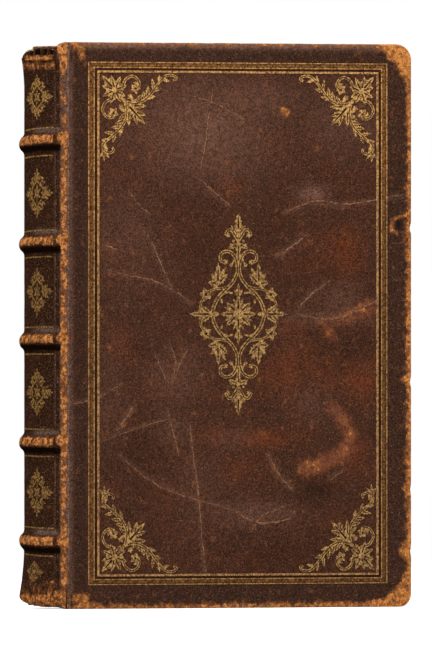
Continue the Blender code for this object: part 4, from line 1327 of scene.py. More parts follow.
def strip_paint(x, z, column, split):
    row = spine_row(z)
    on_ridge = 1 - smooth_step(*RIDGE_END_COLUMNS, column)
    knob, eye = knobs_and_eyes(z, FRONT_TURN, column)
    worn = strongest(
        on_ridge * ridge_strength(row, column, True),
        0.50 * peak(column, 71.2, 1.6) * (1 - smooth_step(58, 66, row)),
        0.85 * knob)
    shade = strongest(
        # Painted shade in the crease at the tail and in the crack at the head
        0.95 * peak(x, *CREASE) * split,
        0.7 * peak(column, 69.4, 0.6) * (row < 52),
        0.45 * eye)
    # Past the ridge the strip is paler as a painted sheen
    return {"worn": worn, "dust": 0.35 * on_ridge + 0.6 * (1 - on_ridge), "warm": np.full_like(x, 0.5),
            "shade": shade}


def joint_strip(name, side):
    share, z = np.meshgrid(np.linspace(0, 1, STRIP_STEPS + 1), np.linspace(0, 1, JOINT_ROWS + 1))
    share, z = share.ravel(), z.ravel()
    top = HEAD - STRIP_TOP - (BACK_STRIP_DROP * (1 - 0.5 * share) if side > 0 else 0)
    low = STRIP_LOW + (BACK_STRIP_RISE if side > 0 else 0)
    z = low + (top - low) * z
    x = STRIP_START_X + (STRIP_END_X - STRIP_START_X) * share
    split = smooth_step(SPLIT_ROW, SPLIT_ROW + 6, spine_row(z))
    depth = strip_depth(x, z, share, side, split)
    verts = np.stack([x, side * depth, z], axis=1)
    painted = strip_paint(x, z, column_at(x, -depth), split)
    strip = add_piece(name, verts, grid_faces(JOINT_ROWS + 1, STRIP_STEPS + 1), spine_leather, None, (),
                      painted, smooth=60, skin=STRIP_SKIN)
    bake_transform(strip)


joint_strip("front_joint_leather", -1)
joint_strip("back_joint_leather", 1)

# %% [markdown]
# ## Gold frames
# Each frame is rolled on with fillets: two fine lines with a beaded ochre band between them, a dark gap, and
# one broad line inside. A curve with a bevel would pinch at the corners, so a closed ring with true mitres
# serves for all of them. Heat from the tool has browned the leather in the gap, and its dark colour is also
# painted shade between the raised gold lines.

# %% Frame rings
SUNK = -0.30 * MM
GOLD_TOP = 0.14 * MM
FRAME_RINGS = (
    # name, inset and width in mm, height over the leather in mm, finish, solid it stands for
    ("outer_line", 0.0, 0.42, 0.14, fillet_gold, "outer_fillet"),
    # The slit and the gap are dark rings: partly scorched leather, partly painted shade between the gold
    # lines
    ("slit", 0.40, 0.30, 0.06, burnt_and_shaded_leather, None),
    ("band", 0.66, 1.56, 0.10, fillet_fill, None),
    ("band_line", 2.20, 0.42, 0.14, fillet_gold, None),
    ("gap", 2.60, 1.14, 0.05, burnt_and_shaded_leather, None),
    ("inner_line", 3.70, 0.90, 0.14, fillet_gold, "inner_fillet"),
)
SIDES = ((-1, "front"), (1, "back"))
UPRIGHT_SPREAD, LEVEL_SPREAD = 1.10, 0.94
BEAD_INSET = 1.42 * MM
BEAD_PITCH = 1.45 * MM
BEAD_RADIUS = 0.36 * MM
BEAD_SINK = 0.22 * MM


def frame_box(inset):
    # Upright lines lie a little further apart than level ones
    across, up = UPRIGHT_SPREAD * inset, LEVEL_SPREAD * inset
    return FRAME_LOW[0] + across, FRAME_HIGH[0] - across, FRAME_LOW[2] + up, FRAME_HIGH[2] - up


def frame_ring(name, side, inset, width, top, material, body, replaced):
    # Four mitred corners at each of the four edges of the line's section
    verts = []
    for depth, level in ((inset, SUNK), (inset, top), (inset + width, top), (inset + width, SUNK)):
        left, right, low, high = frame_box(depth)
        y = side * (HALF_BOOK + level)
        verts += [(left, y, low), (right, y, low), (right, y, high), (left, y, high)]
    faces = [(4 * edge + k, 4 * edge + (k + 1) % 4, 4 * after + (k + 1) % 4, 4 * after + k)
             for edge, after in enumerate((1, 2, 3, 0)) for k in range(4)]
    add_piece(name, verts, faces, material, body, replaced)


for side, label in SIDES:
    for name, inset, width, top, finish, stands_for in FRAME_RINGS:
        replaced = [f"{label}_{stands_for}"] if stands_for else []
        frame_ring(f"{label}_{name}", side, inset * MM, width * MM, top * MM, finish,
                   f"{label}_cover", replaced)

# %% [markdown]
# ## One tool for beads and stitches
# The beads of the frames and the silk stitches of the endbands are the same thing: one
# small round piece, repeated at an even pitch along a line. Copies placed by hand would
# have to be counted again for every new size. A Geometry Nodes tree does both, and its
# result is kept as a plain mesh.

# %% Repeater tree


def repeater_tree():
    tree = bpy.data.node_groups.new("repeat_along_line", "GeometryNodeTree")
    sockets = {}
    for label, kind, given in (
            ("Geometry", "NodeSocketGeometry", None), ("Pitch", "NodeSocketFloat", 0.001),
            ("Size", "NodeSocketVector", (1, 1, 1)), ("Finish", "NodeSocketMaterial", None)):
        sockets[label] = tree.interface.new_socket(name=label, in_out="INPUT", socket_type=kind)
        if given is not None:
            sockets[label].default_value = given
    tree.interface.new_socket(name="Geometry", in_out="OUTPUT", socket_type="NodeSocketGeometry")
    nodes, links = tree.nodes, tree.links
    start, end = nodes.new("NodeGroupInput"), nodes.new("NodeGroupOutput")
    curve = nodes.new("GeometryNodeMeshToCurve")
    points = nodes.new("GeometryNodeCurveToPoints")
    points.mode = "LENGTH"
    ball = nodes.new("GeometryNodeMeshIcoSphere")
    ball.inputs["Radius"].default_value = 1
    ball.inputs["Subdivisions"].default_value = 2
    placed = nodes.new("GeometryNodeInstanceOnPoints")
    real = nodes.new("GeometryNodeRealizeInstances")
    finish = nodes.new("GeometryNodeSetMaterial")
    links.new(start.outputs["Geometry"], curve.inputs["Mesh"])
    links.new(curve.outputs["Curve"], points.inputs["Curve"])
    links.new(start.outputs["Pitch"], points.inputs["Length"])
    links.new(points.outputs["Points"], placed.inputs["Points"])
    links.new(points.outputs["Rotation"], placed.inputs["Rotation"])
    links.new(ball.outputs["Mesh"], placed.inputs["Instance"])
    links.new(start.outputs["Size"], placed.inputs["Scale"])
    links.new(placed.outputs["Instances"], real.inputs["Geometry"])
    links.new(real.outputs["Geometry"], finish.inputs["Geometry"])
    links.new(start.outputs["Finish"], finish.inputs["Material"])
    links.new(finish.outputs["Geometry"], end.inputs["Geometry"])
    return tree, {label: socket.identifier for label, socket in sockets.items()}


REPEATER, REPEATER_SOCKETS = repeater_tree()
print("inputs of the repeater:", list(REPEATER_SOCKETS))

# %% [markdown]
# The tree is hung on a line as a modifier and given its pitch, size and finish. A row of
# beads runs round each frame, sunk to its waist in the ochre band.

# %% Repeat along a line, and bead the frames


def repeat_along(name, path, closed, pitch, size, material, body, replaced):
    mesh = bpy.data.meshes.new(name)
    edges = [(k, k + 1) for k in range(len(path) - 1)] + ([(len(path) - 1, 0)] if closed else [])
    mesh.from_pydata(path, edges, [])
    piece = linked_object(name, mesh)
    step = piece.modifiers.new("repeat", "NODES")
    step.node_group = REPEATER
    step[REPEATER_SOCKETS["Pitch"]] = pitch
    step[REPEATER_SOCKETS["Size"]] = size
    step[REPEATER_SOCKETS["Finish"]] = material
    bake(piece)
    piece.data.shade_smooth()
    register(piece, body, replaced)


def frame_beads(label, side):
    left, right, low, high = frame_box(BEAD_INSET)
    y = side * (HALF_BOOK - BEAD_SINK)
    corners = [(left, y, low), (right, y, low), (right, y, high), (left, y, high)]
    repeat_along(f"{label}_frame_beads", corners, True, BEAD_PITCH, [BEAD_RADIUS] * 3, fillet_gold,
                 f"{label}_cover", ())


for side, label in SIDES:
    frame_beads(label, side)

# %% [markdown]
# Silk was wound round a core to make the endbands. Each winding is a short round bead
# set along the rounded back, closely enough to touch its neighbour.

# %% Endbands
STITCH_PITCH = 0.50 * MM
STITCH_HALF = 0.30 * MM
ENDBAND_STEPS = 60
ENDBAND_SHARE = 0.985


def endband(name):
    low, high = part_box(name)
    radius = (high[2] - low[2]) / 2
    height = (high[2] + low[2]) / 2
    reach = SPINE_CENTRE_X - low[0] - radius
    half = math.asin(high[1] / (SPINE_CENTRE_X - low[0]))
    path = []
    for step in range(ENDBAND_STEPS + 1):
        angle = half * (2 * step / ENDBAND_STEPS - 1) * ENDBAND_SHARE
        path.append((SPINE_CENTRE_X - reach * math.cos(angle), reach * math.sin(angle), height))
    repeat_along(name + "_silk", path, False, STITCH_PITCH, (radius, radius, STITCH_HALF), silk,
                 "text_block", [name])


endband("headband")
endband("tailband")

# %% [markdown]
# ## Drawings of the ornament tools
# The ornaments are acanthus and strapwork, drawn as leaves, bent ribbons and small
# flowers in shares of the tool's width and height. A quarter or a half of each tool is
# drawn and then mirrored. Curve objects could be drawn in the viewport, but a row of
# numbers is quicker to correct. A leaf row holds its foot, tip and width, and whether a
# dark vein runs along it. A ribbon row holds its path and width, and whether it is split.

# %% Quarter of the centre tool
CENTRE_RIBBONS = (
    (((0.267, 0), (0.250, 0.037), (0.217, 0.071), (0.165, 0.104), (0.097, 0.135), (0.044, 0.167),
      (0.016, 0.2), (0.010, 0.232), (0.021, 0.263), (0.044, 0.289), (0.089, 0.307), (0.142, 0.308),
      (0.184, 0.289), (0.176, 0.262), (0.130, 0.256)), 0.036, True),
    (((0.097, 0.135), (0.165, 0.127), (0.25, 0.122), (0.33, 0.097), (0.387, 0.045), (0.36, 0)), 0.024, True),
    (((0, 0.364), (0.037, 0.391), (0.062, 0.411), (0.1, 0.415), (0.134, 0.388)), 0.034, True),
    (((0.165, 0.096), (0.12, 0.107), (0.059, 0.1025)), 0.02, False),
    (((0.172, 0.074), (0.166, 0.053)), 0.02, False),
    (((0.357, 0.071), (0.384, 0.057), (0.377, 0.035)), 0.02, False),
)
CENTRE_LEAVES = (
    ((0, 0.4), (0, 0.5), 0.085, True), ((0, 0.34), (0, 0.42), 0.05, False),
    ((0, 0.39), (0.073, 0.438), 0.045, True), ((0, 0.345), (0.104, 0.324), 0.05, True),
    ((0, 0.36), (0, 0.24), 0.05, True), ((0, 0.30), (0.073, 0.242), 0.035, False),
    ((0.21, 0.14), (0.205, 0.254), 0.078, True), ((0.21, 0.15), (0.108, 0.198), 0.072, True),
    ((0.21, 0.165), (0.130, 0.228), 0.060, False), ((0.21, 0.15), (0.308, 0.156), 0.072, True),
    ((0.21, 0.165), (0.282, 0.200), 0.060, False), ((0.21, 0.135), (0.262, 0.128), 0.040, False),
    ((0.25, 0), (0.5, 0), 0.085, True), ((0.28, 0), (0.396, 0.045), 0.055, True),
    ((0.3, 0.01), (0.414, 0.025), 0.045, False),
    ((0, 0.07), (0, 0.153), 0.05, True), ((0, 0.09), (0.042, 0.119), 0.035, False),
    ((0, 0.008), (0, 0.091), 0.082, True), ((0, 0.03), (0.052, 0.076), 0.036, False),
    ((0.012, 0.006), (0.124, 0.058), 0.078, True), ((0.03, 0.01), (0.142, 0.034), 0.036, False),
    ((0.016, 0), (0.184, 0), 0.078, True), ((0.20, 0), (0.27, 0.010), 0.03, False),
)
CENTRE_DISCS = (
    ((0, 0), 0.034), ((0.33, 0.097), 0.066), ((0.105, 0.389), 0.026), ((0.051, 0.36), 0.016),
    ((0.073, 0.342), 0.016), ((0.13, 0.256), 0.026), ((0.073, 0.242), 0.022),
)
print("centre tool:", len(CENTRE_LEAVES), "leaves,", len(CENTRE_RIBBONS), "ribbons")

# %% Half of the corner tool
CORNER_RIBBONS = (
    (((0.34, 0.33), (0.44, 0.35), (0.54, 0.327), (0.62, 0.272), (0.695, 0.19), (0.755, 0.11)), 0.038, True),
    (((0.29, 0.2), (0.325, 0.09), (0.41, 0.04), (0.482, 0.073), (0.511, 0.14), (0.458, 0.183)), 0.036, True),
)
CORNER_END_RIBBONS = (
    (((0.755, 0.11), (0.82, 0.05), (0.88, 0.026), (0.95, 0.034), (0.98, 0.063), (0.94, 0.085)), 0.034, True),
    (((0.11, 0.755), (0.052, 0.8), (0.05, 0.865), (0.115, 0.905), (0.18, 0.88), (0.165, 0.845)), 0.034, True),
)
CORNER_LEAVES = (
    ((0.45, 0.35), (0.52, 0.25), 0.05, True), ((0.54, 0.33), (0.57, 0.2), 0.06, True),
    ((0.61, 0.28), (0.62, 0.15), 0.06, True), ((0.69, 0.2), (0.67, 0.06), 0.05, True),
    ((0.6, 0.29), (0.72, 0.26), 0.05, False), ((0.69, 0.2), (0.79, 0.17), 0.05, True),
    ((0.4, 0.37), (0.6, 0.375), 0.08, True), ((0.44, 0.44), (0.59, 0.48), 0.07, True),
    ((0.755, 0.11), (0.765, 0.02), 0.045, False), ((0.80, 0.07), (0.90, 0.10), 0.045, False),
    ((0.44, 0.34), (0.40, 0.25), 0.04, False), ((0.50, 0.13), (0.43, 0.11), 0.04, False),
    ((0.195, 0.195), (0.03, 0.15), 0.085, True), ((0.195, 0.195), (0.04, 0.27), 0.085, True),
    ((0.195, 0.195), (0.14, 0.35), 0.085, True), ((0.195, 0.195), (0.27, 0.33), 0.085, True),
)
CORNER_MIDDLE_LEAVES = (
    ((0.195, 0.195), (0.03, 0.03), 0.11, True), ((0.2, 0.2), (0.4, 0.4), 0.05, False),
    ((0.33, 0.33), (0.585, 0.585), 0.115, True), ((0.05, 0.86), (0.064, 1), 0.05, True),
    ((0.06, 0.88), (0.0, 0.96), 0.04, False), ((0.06, 0.88), (0.13, 0.965), 0.04, False),
)
CORNER_DISCS = (((0.455, 0.178), 0.068), ((0.39, 0.272), 0.037))
print("corner tool:", len(CORNER_LEAVES) + len(CORNER_MIDDLE_LEAVES), "leaves")

# %% Quarter of the spine tool
SPINE_RIBBONS = (
    (((0.22, 0), (0.205, 0.06), (0.16, 0.13), (0.08, 0.19), (0.02, 0.25), (0, 0.3)), 0.042, False),
    (((0.06, 0.26), (0.14, 0.31), (0.2, 0.29), (0.19, 0.24)), 0.04, False),
)
SPINE_LEAVES = (
    ((0, 0.28), (0, 0.5), 0.105, True), ((0, 0.34), (0.11, 0.41), 0.06, False),
    ((0, 0.3), (0.13, 0.345), 0.05, False), ((0.1, 0.17), (0.28, 0.225), 0.075, True),
    ((0.1, 0.17), (0.2, 0.285), 0.055, False), ((0.18, 0.05), (0.37, 0.125), 0.075, True),
    ((0.15, 0), (0.5, 0), 0.115, True), ((0.27, 0), (0.43, 0.06), 0.06, False),
    ((0, 0.02), (0, 0.2), 0.075, True), ((0, 0), (0.12, 0.09), 0.07, False),
)
SPINE_DISCS = (((0.0, 0.0), 0.075), ((0.19, 0.24), 0.03))
print("spine tool:", len(SPINE_LEAVES), "leaves")

# %% [markdown]
# Half a leaf's outline is a row of places: how far along the leaf, and how wide. A vein
# runs along part of the leaf and narrows towards its tip.

# %% Draw leaves, ribbons and flowers
LEAF_SHARES = ((0.0, 0.20), (0.12, 0.74), (0.20, 0.42), (0.34, 1.08), (0.44, 0.56), (0.58, 0.92),
               (0.68, 0.40), (0.78, 0.52), (0.90, 0.18))
VEIN_SPAN = (0.22, 0.8)
VEIN_SHARE, VEIN_FOOT, VEIN_TIP = 0.17, 1.3, 0.5
SPLIT_SHARE = 0.26
RIBBON_STEPS, RIBBON_END = 4, 0.8
FLOWER_LOBES, FLOWER_BODY, FLOWER_SWING = 5, 0.78, 0.22
LEAST_EYED_FLOWER = 1.4 * MM


def leaf(foot, tip, width):
    along = tip - foot
    across = Vector((-along.y, along.x)).normalized() * width / 2
    one_side = [foot + along * far + across * wide for far, wide in LEAF_SHARES]
    other_side = [foot + along * far - across * wide for far, wide in LEAF_SHARES]
    return other_side + [tip] + one_side[::-1]


def disc(centre, radius):
    outline = []
    for step in range(FLOWER_LOBES * 4):
        turn = math.tau * step / (FLOWER_LOBES * 4)
        reach = radius * (FLOWER_BODY + FLOWER_SWING * math.cos(FLOWER_LOBES * turn))
        outline.append(centre + reach * Vector((math.cos(turn), math.sin(turn))))
    return outline


def drawn(width, height, leaves, ribbons, discs):
    # The gold shapes of one tool at their real size, and the dark veins over them
    def at(place):
        return Vector((place[0] * width, place[1] * height))
    gold, dark = [], []
    for foot, tip, share, veined in leaves:
        gold.append(leaf(at(foot), at(tip), share * width))
        if veined:
            vein = [at(foot).lerp(at(tip), far) for far in VEIN_SPAN]
            wide = share * width * VEIN_SHARE
            dark.append(ribbon(vein, wide * VEIN_FOOT, wide * VEIN_TIP))
    for path, share, split in ribbons:
        curve = smooth_path([at(place) for place in path], RIBBON_STEPS)
        gold.append(ribbon(curve, share * width, share * width * RIBBON_END))
        if split:
            dark.append(ribbon(curve[1:-1], share * width * SPLIT_SHARE, share * width * SPLIT_SHARE))
    for centre, share in discs:
        gold.append(disc(at(centre), share * width))
        if share * width > LEAST_EYED_FLOWER:
            dark.append(disc(at(centre), share * width * SPLIT_SHARE))
    return gold, dark


print("points round a leaf:", 2 * len(LEAF_SHARES) + 1, "round a flower:", 4 * FLOWER_LOBES)

# %% [markdown]
# A drawing is turned over by swapping or negating its two directions, and each outline
# is then read backwards so that all of them still wind the same way.

# %% Mirror and join drawings


def mirrored(both, flip):
    return tuple(shapes + [[Vector(flip(*point)) for point in shape][::-1] for shape in shapes]
                 for shapes in both)


def joined(*tools):
    return tuple(sum((tool[part] for tool in tools), []) for part in (0, 1))


def across_axis(u, v):
    return (-u, v)


def across_middle(u, v):
    return (u, -v)


def across_diagonal(u, v):
    return (v, u)


def four_quarters(quarter):
    return mirrored(mirrored(quarter, across_axis), across_middle)


one_leaf = [leaf(Vector((0, 0)), Vector((1, 1)), 0.2)]
print("one leaf mirrored twice:", len(four_quarters((one_leaf, []))[0]), "leaves")

# %% [markdown]
# Striking makes one closed thin plate out of all the overlapping shapes. Boolean unions
# of so many thin plates are slow and fail easily, so the outlines are joined while they
# are flat. They cut the plane into parts, and a part is kept if a shape winds round it.

# %% Strike a tool
DRAWING_TOLERANCE = 1e-6


def inside(points, shape):
    # Which points lie inside a closed outline, by how often it winds round them
    wound = np.zeros(len(points), dtype=int)
    for (x0, y0), (x1, y1) in zip(shape, shape[1:] + shape[:1]):
        if y0 != y1:
            crossed = (y0 > points[:, 1]) != (y1 > points[:, 1])
            crossed &= points[:, 0] < x0 + (points[:, 1] - y0) * (x1 - x0) / (y1 - y0)
            wound += crossed * (1 if y1 > y0 else -1)
    return wound != 0


def union_parts(shapes, guides):
    # The points of the union, and the parts of it that outlines and guide lines cut out
    corners = [Vector(point) for shape in shapes for point in shape]
    outlines, first = [], 0
    for shape in shapes:
        outlines.append(list(range(first, first + len(shape))))
        first += len(shape)
    edges = []
    for guide in guides:
        edges.append((len(corners), len(corners) + 1))
        corners += [Vector(point) for point in guide]
    points, _, parts, _, _, _ = delaunay_2d_cdt(corners, edges, outlines, 0, DRAWING_TOLERANCE)
    middles = np.array([sum((points[k] for k in part), Vector((0, 0))) / len(part) for part in parts])
    covered = np.zeros(len(parts), dtype=bool)
    for shape in shapes:
        covered |= inside(middles, shape)
    kept = [part for part, wanted in zip(parts, covered) if wanted]
    used = sorted({k for part in kept for k in part})
    row_of = {k: row for row, k in enumerate(used)}
    return [points[k] for k in used], [[row_of[k] for k in part] for part in kept]


def struck(name, shapes, place, material, body, replaced=(), guides=()):
    points, parts = union_parts(shapes, guides)
    sides = {(part[k], part[(k + 1) % len(part)]) for part in parts for k in range(len(part))}
    verts = [place(*point, 0) for point in points] + [place(*point, 1) for point in points]
    top = len(points)
    faces = [part[::-1] for part in parts] + [[top + k for k in part] for part in parts]
    faces += [(a, b, top + b, top + a) for a, b in sides if (b, a) not in sides]
    add_piece(name, verts, faces, material, body, replaced)


square = [(0, 0), (2, 0), (2, 2), (0, 2)]
moved_square = [(u + 1, v + 1) for u, v in square]
print("parts of two overlapping squares:", len(union_parts([square, moved_square], ())[1]))

# %% [markdown]
# The corner tool is struck four times, turned so that its rosette always sits in the
# frame's corner. The centre is a tall lozenge, a little above the cover's middle.

# %% Strike the ornaments on the front cover
FRAME_DEPTH = 4.6 * MM
CORNER_SIZE = 36.1 * MM
CENTRE_WIDTH, CENTRE_HEIGHT, CENTRE_RISE = 45.2 * MM, 82.5 * MM, 3.8 * MM
VEIN_LIFT = 0.015 * MM


def cover_place(x, z, right, up, lift=0.0):
    def place(u, v, level):
        return (x + right * u, -(HALF_BOOK + (GOLD_TOP + lift if level else SUNK)), z + up * v)
    return place


def strike_on_cover(name, tool, x, z, right, up, node):
    gold, dark = tool
    struck(name, gold, cover_place(x, z, right, up), ornament_gold, "front_cover", [node])
    struck(name + "_veins", dark, cover_place(x, z, right, up, VEIN_LIFT), burnt_and_shaded_leather, "front_cover")


arm = drawn(CORNER_SIZE, CORNER_SIZE, CORNER_LEAVES, CORNER_RIBBONS, CORNER_DISCS)
ends = drawn(CORNER_SIZE, CORNER_SIZE, CORNER_MIDDLE_LEAVES, CORNER_END_RIBBONS, ())
corner_tool = joined(mirrored(arm, across_diagonal), ends)
for end, up in (("head", -1), ("tail", 1)):
    for edge, right in (("spine", 1), ("fore", -1)):
        corner_x = frame_box(FRAME_DEPTH)[0 if right > 0 else 1]
        corner_z = frame_box(FRAME_DEPTH)[2 if up > 0 else 3]
        strike_on_cover(f"corner_{end}_{edge}", corner_tool, corner_x, corner_z, right, up,
                        f"gilt_corner_{end}_{edge}")

quarter = drawn(CENTRE_WIDTH, CENTRE_HEIGHT, CENTRE_LEAVES, CENTRE_RIBBONS, CENTRE_DISCS)
centre_tool = four_quarters(quarter)
strike_on_cover("centre_lozenge", centre_tool, (FRAME_LOW[0] + FRAME_HIGH[0]) / 2,
                (FRAME_LOW[2] + FRAME_HIGH[2]) / 2 + CENTRE_RISE, 1, 1, "gilt_centre")

# %% [markdown]
# The spine tools are small lozenges of the same family. Guide lines 1 mm apart cut them
# into strips, so that the gold bends with the rounded back.

# %% Strike the spine
GUIDE_PITCH, GUIDE_OFFSET = 1.0 * MM, 0.37
SPINE_TOOL_ROWS = ((561, 583), (468, 517), (368, 416.6), (267, 316), (168, 218.5), (74, 120))
SPINE_TOOL_COLUMNS = (26.2, 53.6)
SHORT_TOOL_COLUMNS = (27.5, 44.5)
SPINE_GOLD_TOP = 0.12 * MM


def gold_radius(z, turn, over):
    # The skin swells towards its two ends, and on its back side
    if z < HEAD / 2:
        swell = np.maximum(cap_lift(z, TAIL_BULGE, TAIL_REACH), 0)
    else:
        swell = np.maximum(cap_lift(SPINE_TOP - z, HEAD_BULGE, CAP_REACH), 0)
    return SPINE_RADIUS + float(swell + slump(turn, swell)) + over


def round_spine(z, turn, over):
    # The place at this height on the spine, at this turn, and this far over the leather
    radius, angle = gold_radius(z, turn, over), math.radians(turn)
    return SPINE_CENTRE_X - radius * math.cos(angle), radius * math.sin(angle)


def spine_place(middle, turn_middle, lift=0.0):
    def place(u, v, level):
        turn = math.degrees(math.radians(turn_middle) + u / SPINE_RADIUS)
        z = middle + v
        z += float(lean(z, turn) - lean(z, turn_middle))
        return (*round_spine(z, turn, SPINE_GOLD_TOP + lift if level else SUNK), z)
    return place


def strike_on_spine(number, rows, columns):
    high, low = spine_z(rows[0]), spine_z(rows[1])
    back_turn, front_turn = turn_at(columns[0]), turn_at(columns[1])
    width, height = SPINE_RADIUS * math.radians(back_turn - front_turn), high - low
    gold, dark = four_quarters(drawn(width, height, SPINE_LEAVES, SPINE_RIBBONS, SPINE_DISCS))
    strips = int(width / 2 / GUIDE_PITCH)
    guides = [((place, -height / 2 - GUIDE_PITCH), (place, height / 2 + GUIDE_PITCH))
              for place in ((k + GUIDE_OFFSET) * GUIDE_PITCH for k in range(-strips, strips))]
    centre = (high + low) / 2, (back_turn + front_turn) / 2
    struck(f"spine_tool_{number}", gold, spine_place(*centre), spine_gold, "text_block",
           [f"gilt_spine_{number}"], guides)
    struck(f"spine_tool_{number}_veins", dark, spine_place(*centre, VEIN_LIFT), burnt_and_shaded_leather, "text_block")


for number, rows in enumerate(SPINE_TOOL_ROWS, 1):
    strike_on_spine(number, rows, SHORT_TOOL_COLUMNS if number == 1 else SPINE_TOOL_COLUMNS)

# %% [markdown]
# A fine gold line lies below and above each band. It runs over the rounded back and
# leans with the bands.

# %% Lines beside the bands
SPINE_LINE_ROWS = ((556.3, 528.4), (456.6, 429.5), (354, 327), (256.6, 230), (155.3, 127.6))
SPINE_LINE_WIDTH = 0.58 * MM
LINE_STEPS = 40
LINE_END_TURN, LINE_LEVEL_TURN = FRONT_TURN * 0.93, FRONT_TURN * 0.8


def spine_line(name, row, replaced):
    rings = []
    for step in range(LINE_STEPS + 1):
        turn = LINE_END_TURN * (1 - 2 * step / LINE_STEPS)
        z = spine_z(row)
        z += float(lean(z, turn) - lean(z, LINE_LEVEL_TURN))
        section = ((SUNK, -1), (SPINE_GOLD_TOP, -1), (SPINE_GOLD_TOP, 1), (SUNK, 1))
        rings.append([(*round_spine(z, turn, height), z + way * SPINE_LINE_WIDTH / 2)
                      for height, way in section])
    verts, faces = tube_rings(rings)
    add_piece(name, verts, faces, spine_gold, "text_block", [replaced])


for number, (below_row, above_row) in enumerate(SPINE_LINE_ROWS, 1):
    spine_line(f"spine_line_below_{number}", below_row, f"gilt_line_below_{number}")
    spine_line(f"spine_line_above_{number}", above_row, f"gilt_line_above_{number}")

# %% [markdown]
# ## The leaves
# A section is a fold of sheets, so each solid section is replaced by twelve thin leaves
# that share its back. Lines painted on a block would do from afar, but at the head the
# leaves part and light falls between them. Backing spreads them into the shoulders, and
# no two leaves end at quite the same place at the fore-edge, head or tail.

# %% Leaves of the text block
SECTIONS, LEAVES_EACH = 8, 12
BLOCK_HALF = 10.2 * MM
FORE_HOLLOW = 3.0 * MM
SHOULDER_Y = HALF_BOOK - 0.9 * MM - 0.3 * MM
SHOULDER_START = JOINT_X - JOINT_GAP
BLOCK_RADIUS = SPINE_RADIUS - 1.9 * MM
LEAF_GAP = 0.012 * MM
FOLD_ROUND = 0.4 * MM
RAGGED_FORE, RAGGED_ENDS = 0.25 * MM, 0.12 * MM
KNOCKED, KNOCKED_RUN = 1.1 * MM, 2.5 * MM
FAN_STEPS = 5


def fan(x):
    share = smooth_step(0, 1, (SHOULDER_START - x) / (SHOULDER_START - RIDGE_X))
    return 1 + (SHOULDER_Y / BLOCK_HALF - 1) * float(share)


def leaf_side(y, ragged):
    points = [(BLOCK_HIGH[0] - 0.3 * MM - FORE_HOLLOW * (1 - (y / BLOCK_HALF) ** 2) - ragged, y)]
    for step in range(FAN_STEPS + 1):
        x = SHOULDER_START + (RIDGE_X - SHOULDER_START) * step / FAN_STEPS
        points.append((x, y * fan(x)))
    return points


def leaf_rings(section, number):
    # The outline of one leaf at the tail and at the head, where its back is knocked down
    thick = 2 * BLOCK_HALF / (SECTIONS * LEAVES_EACH)
    y = -BLOCK_HALF + (section * LEAVES_EACH + number) * thick
    jitter = 0.5 + 0.5 * noise.noise(Vector((section * 3.1, number * 1.7, 0.5)))
    low = leaf_side(y + LEAF_GAP, RAGGED_FORE * jitter)
    high = leaf_side(y + thick - LEAF_GAP, RAGGED_FORE * jitter)
    near_fold = min(number, LEAVES_EACH - 1 - number) / (LEAVES_EACH / 2)
    back_y = (y + thick / 2) * fan(RIDGE_X)
    back = SPINE_CENTRE_X - math.sqrt(BLOCK_RADIUS ** 2 - back_y ** 2) + FOLD_ROUND * (1 - near_fold) ** 2
    outline = low + [(back, low[-1][1]), (back, high[-1][1])] + high[::-1]
    tail, head = BLOCK_LOW[2] + RAGGED_ENDS * jitter, BLOCK_HIGH[2] - RAGGED_ENDS * jitter
    return [[(x, side_y, tail) for x, side_y in outline],
            [(x, side_y, head - KNOCKED * float(smooth_step(0, KNOCKED_RUN, SHOULDER_START - x)))
             for x, side_y in outline]]


def text_leaves():
    for section in range(SECTIONS):
        verts, faces = joined_tubes([leaf_rings(section, number) for number in range(LEAVES_EACH)])
        add_piece(f"leaves_{section + 1}", verts, faces, leaf_paper, "text_block",
                  [f"section_{section + 1}"])


text_leaves()

# %% [markdown]
# ## Floor, light and background
# The floor is pale and keeps the book's shadow, and the background is white. Brighter
# lamps would whiten both but wash out the leather, so floor and world are bright where
# the camera or a reflection sees them, and light the book only weakly.

# %% Floor and world
FLOOR_RADIUS = 1.6
FLOOR_TONE = (0.86, 0.86, 0.86, 1.0)
FLOOR_GLOW = 0.55
WORLD_FILL = 0.30


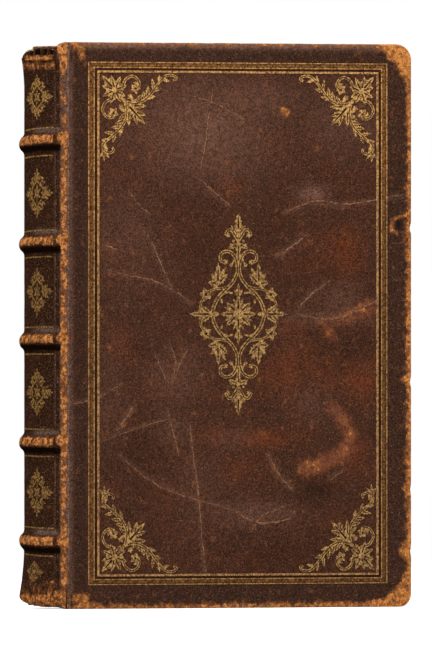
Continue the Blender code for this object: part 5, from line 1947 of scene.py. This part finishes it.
def make_floor():
    bpy.ops.mesh.primitive_circle_add(vertices=96, radius=FLOOR_RADIUS, fill_type="NGON")
    floor = bpy.context.object
    floor.name = "floor"
    finish = Finish("floor", roughness=0.9, specular=0.0)
    finish.colour(FLOOR_TONE)
    path = finish.nodes.new("ShaderNodeLightPath")
    finish.shader.inputs["Emission Color"].default_value = (1, 1, 1, 1)
    seen = finish.math("MAXIMUM", path.outputs["Is Camera Ray"], path.outputs["Is Glossy Ray"])
    seen = finish.math("MAXIMUM", seen, path.outputs["Is Transmission Ray"])
    finish.plug(finish.shader.inputs["Emission Strength"], finish.times(seen, FLOOR_GLOW))
    floor.data.materials.append(finish.material)


def make_world():
    world = bpy.data.worlds.new("world")
    bpy.context.scene.world = world
    world.use_nodes = True
    nodes, links = world.node_tree.nodes, world.node_tree.links
    back = nodes["Background"]
    back.inputs["Color"].default_value = (1, 1, 1, 1)
    path = nodes.new("ShaderNodeLightPath")
    seen = path.outputs["Is Camera Ray"]
    for kind in ("Is Glossy Ray", "Is Transmission Ray"):
        larger = nodes.new("ShaderNodeMath")
        larger.operation = "MAXIMUM"
        links.new(seen, larger.inputs[0])
        links.new(path.outputs[kind], larger.inputs[1])
        seen = larger.outputs[0]
    level = nodes.new("ShaderNodeMapRange")
    links.new(seen, level.inputs["Value"])
    level.inputs["To Min"].default_value = WORLD_FILL
    level.inputs["To Max"].default_value = 1.0
    links.new(level.outputs[0], back.inputs["Strength"])


make_floor()
make_world()
print("floor radius:", FLOOR_RADIUS, "world fill:", WORLD_FILL)

# %% [markdown]
# One broad lamp above and in front of the book gives the light from above that the bands
# show, a weaker one fills from the other side, and a third lights the back cover.

# %% Lamps
LAMPS = (
    # name, azimuth and elevation in degrees, distance and size in metres, power in watts
    ("key", -40, 58, 1.6, 0.7, 24),
    ("fill", 35, 20, 2.0, 1.2, 5),
    ("back", -160, 35, 1.8, 1.0, 9),
)


def make_lamp(name, azimuth, elevation, distance, size, power):
    data = bpy.data.lights.new(name, "AREA")
    data.shape = "SQUARE"
    data.size = size
    data.energy = power
    lamp = linked_object(name, data)
    target = Vector((0, 0, HEAD / 2))
    round_book, up = math.radians(azimuth), math.radians(elevation)
    way = Vector((math.sin(round_book) * math.cos(up), -math.cos(round_book) * math.cos(up), math.sin(up)))
    lamp.location = target + way * distance
    lamp.rotation_euler = (-way).to_track_quat("-Z", "Y").to_euler()


for lamp in LAMPS:
    make_lamp(*lamp)
bpy.context.scene.view_settings.view_transform = "Standard"
print("lamps:", [name for name, *_ in LAMPS])
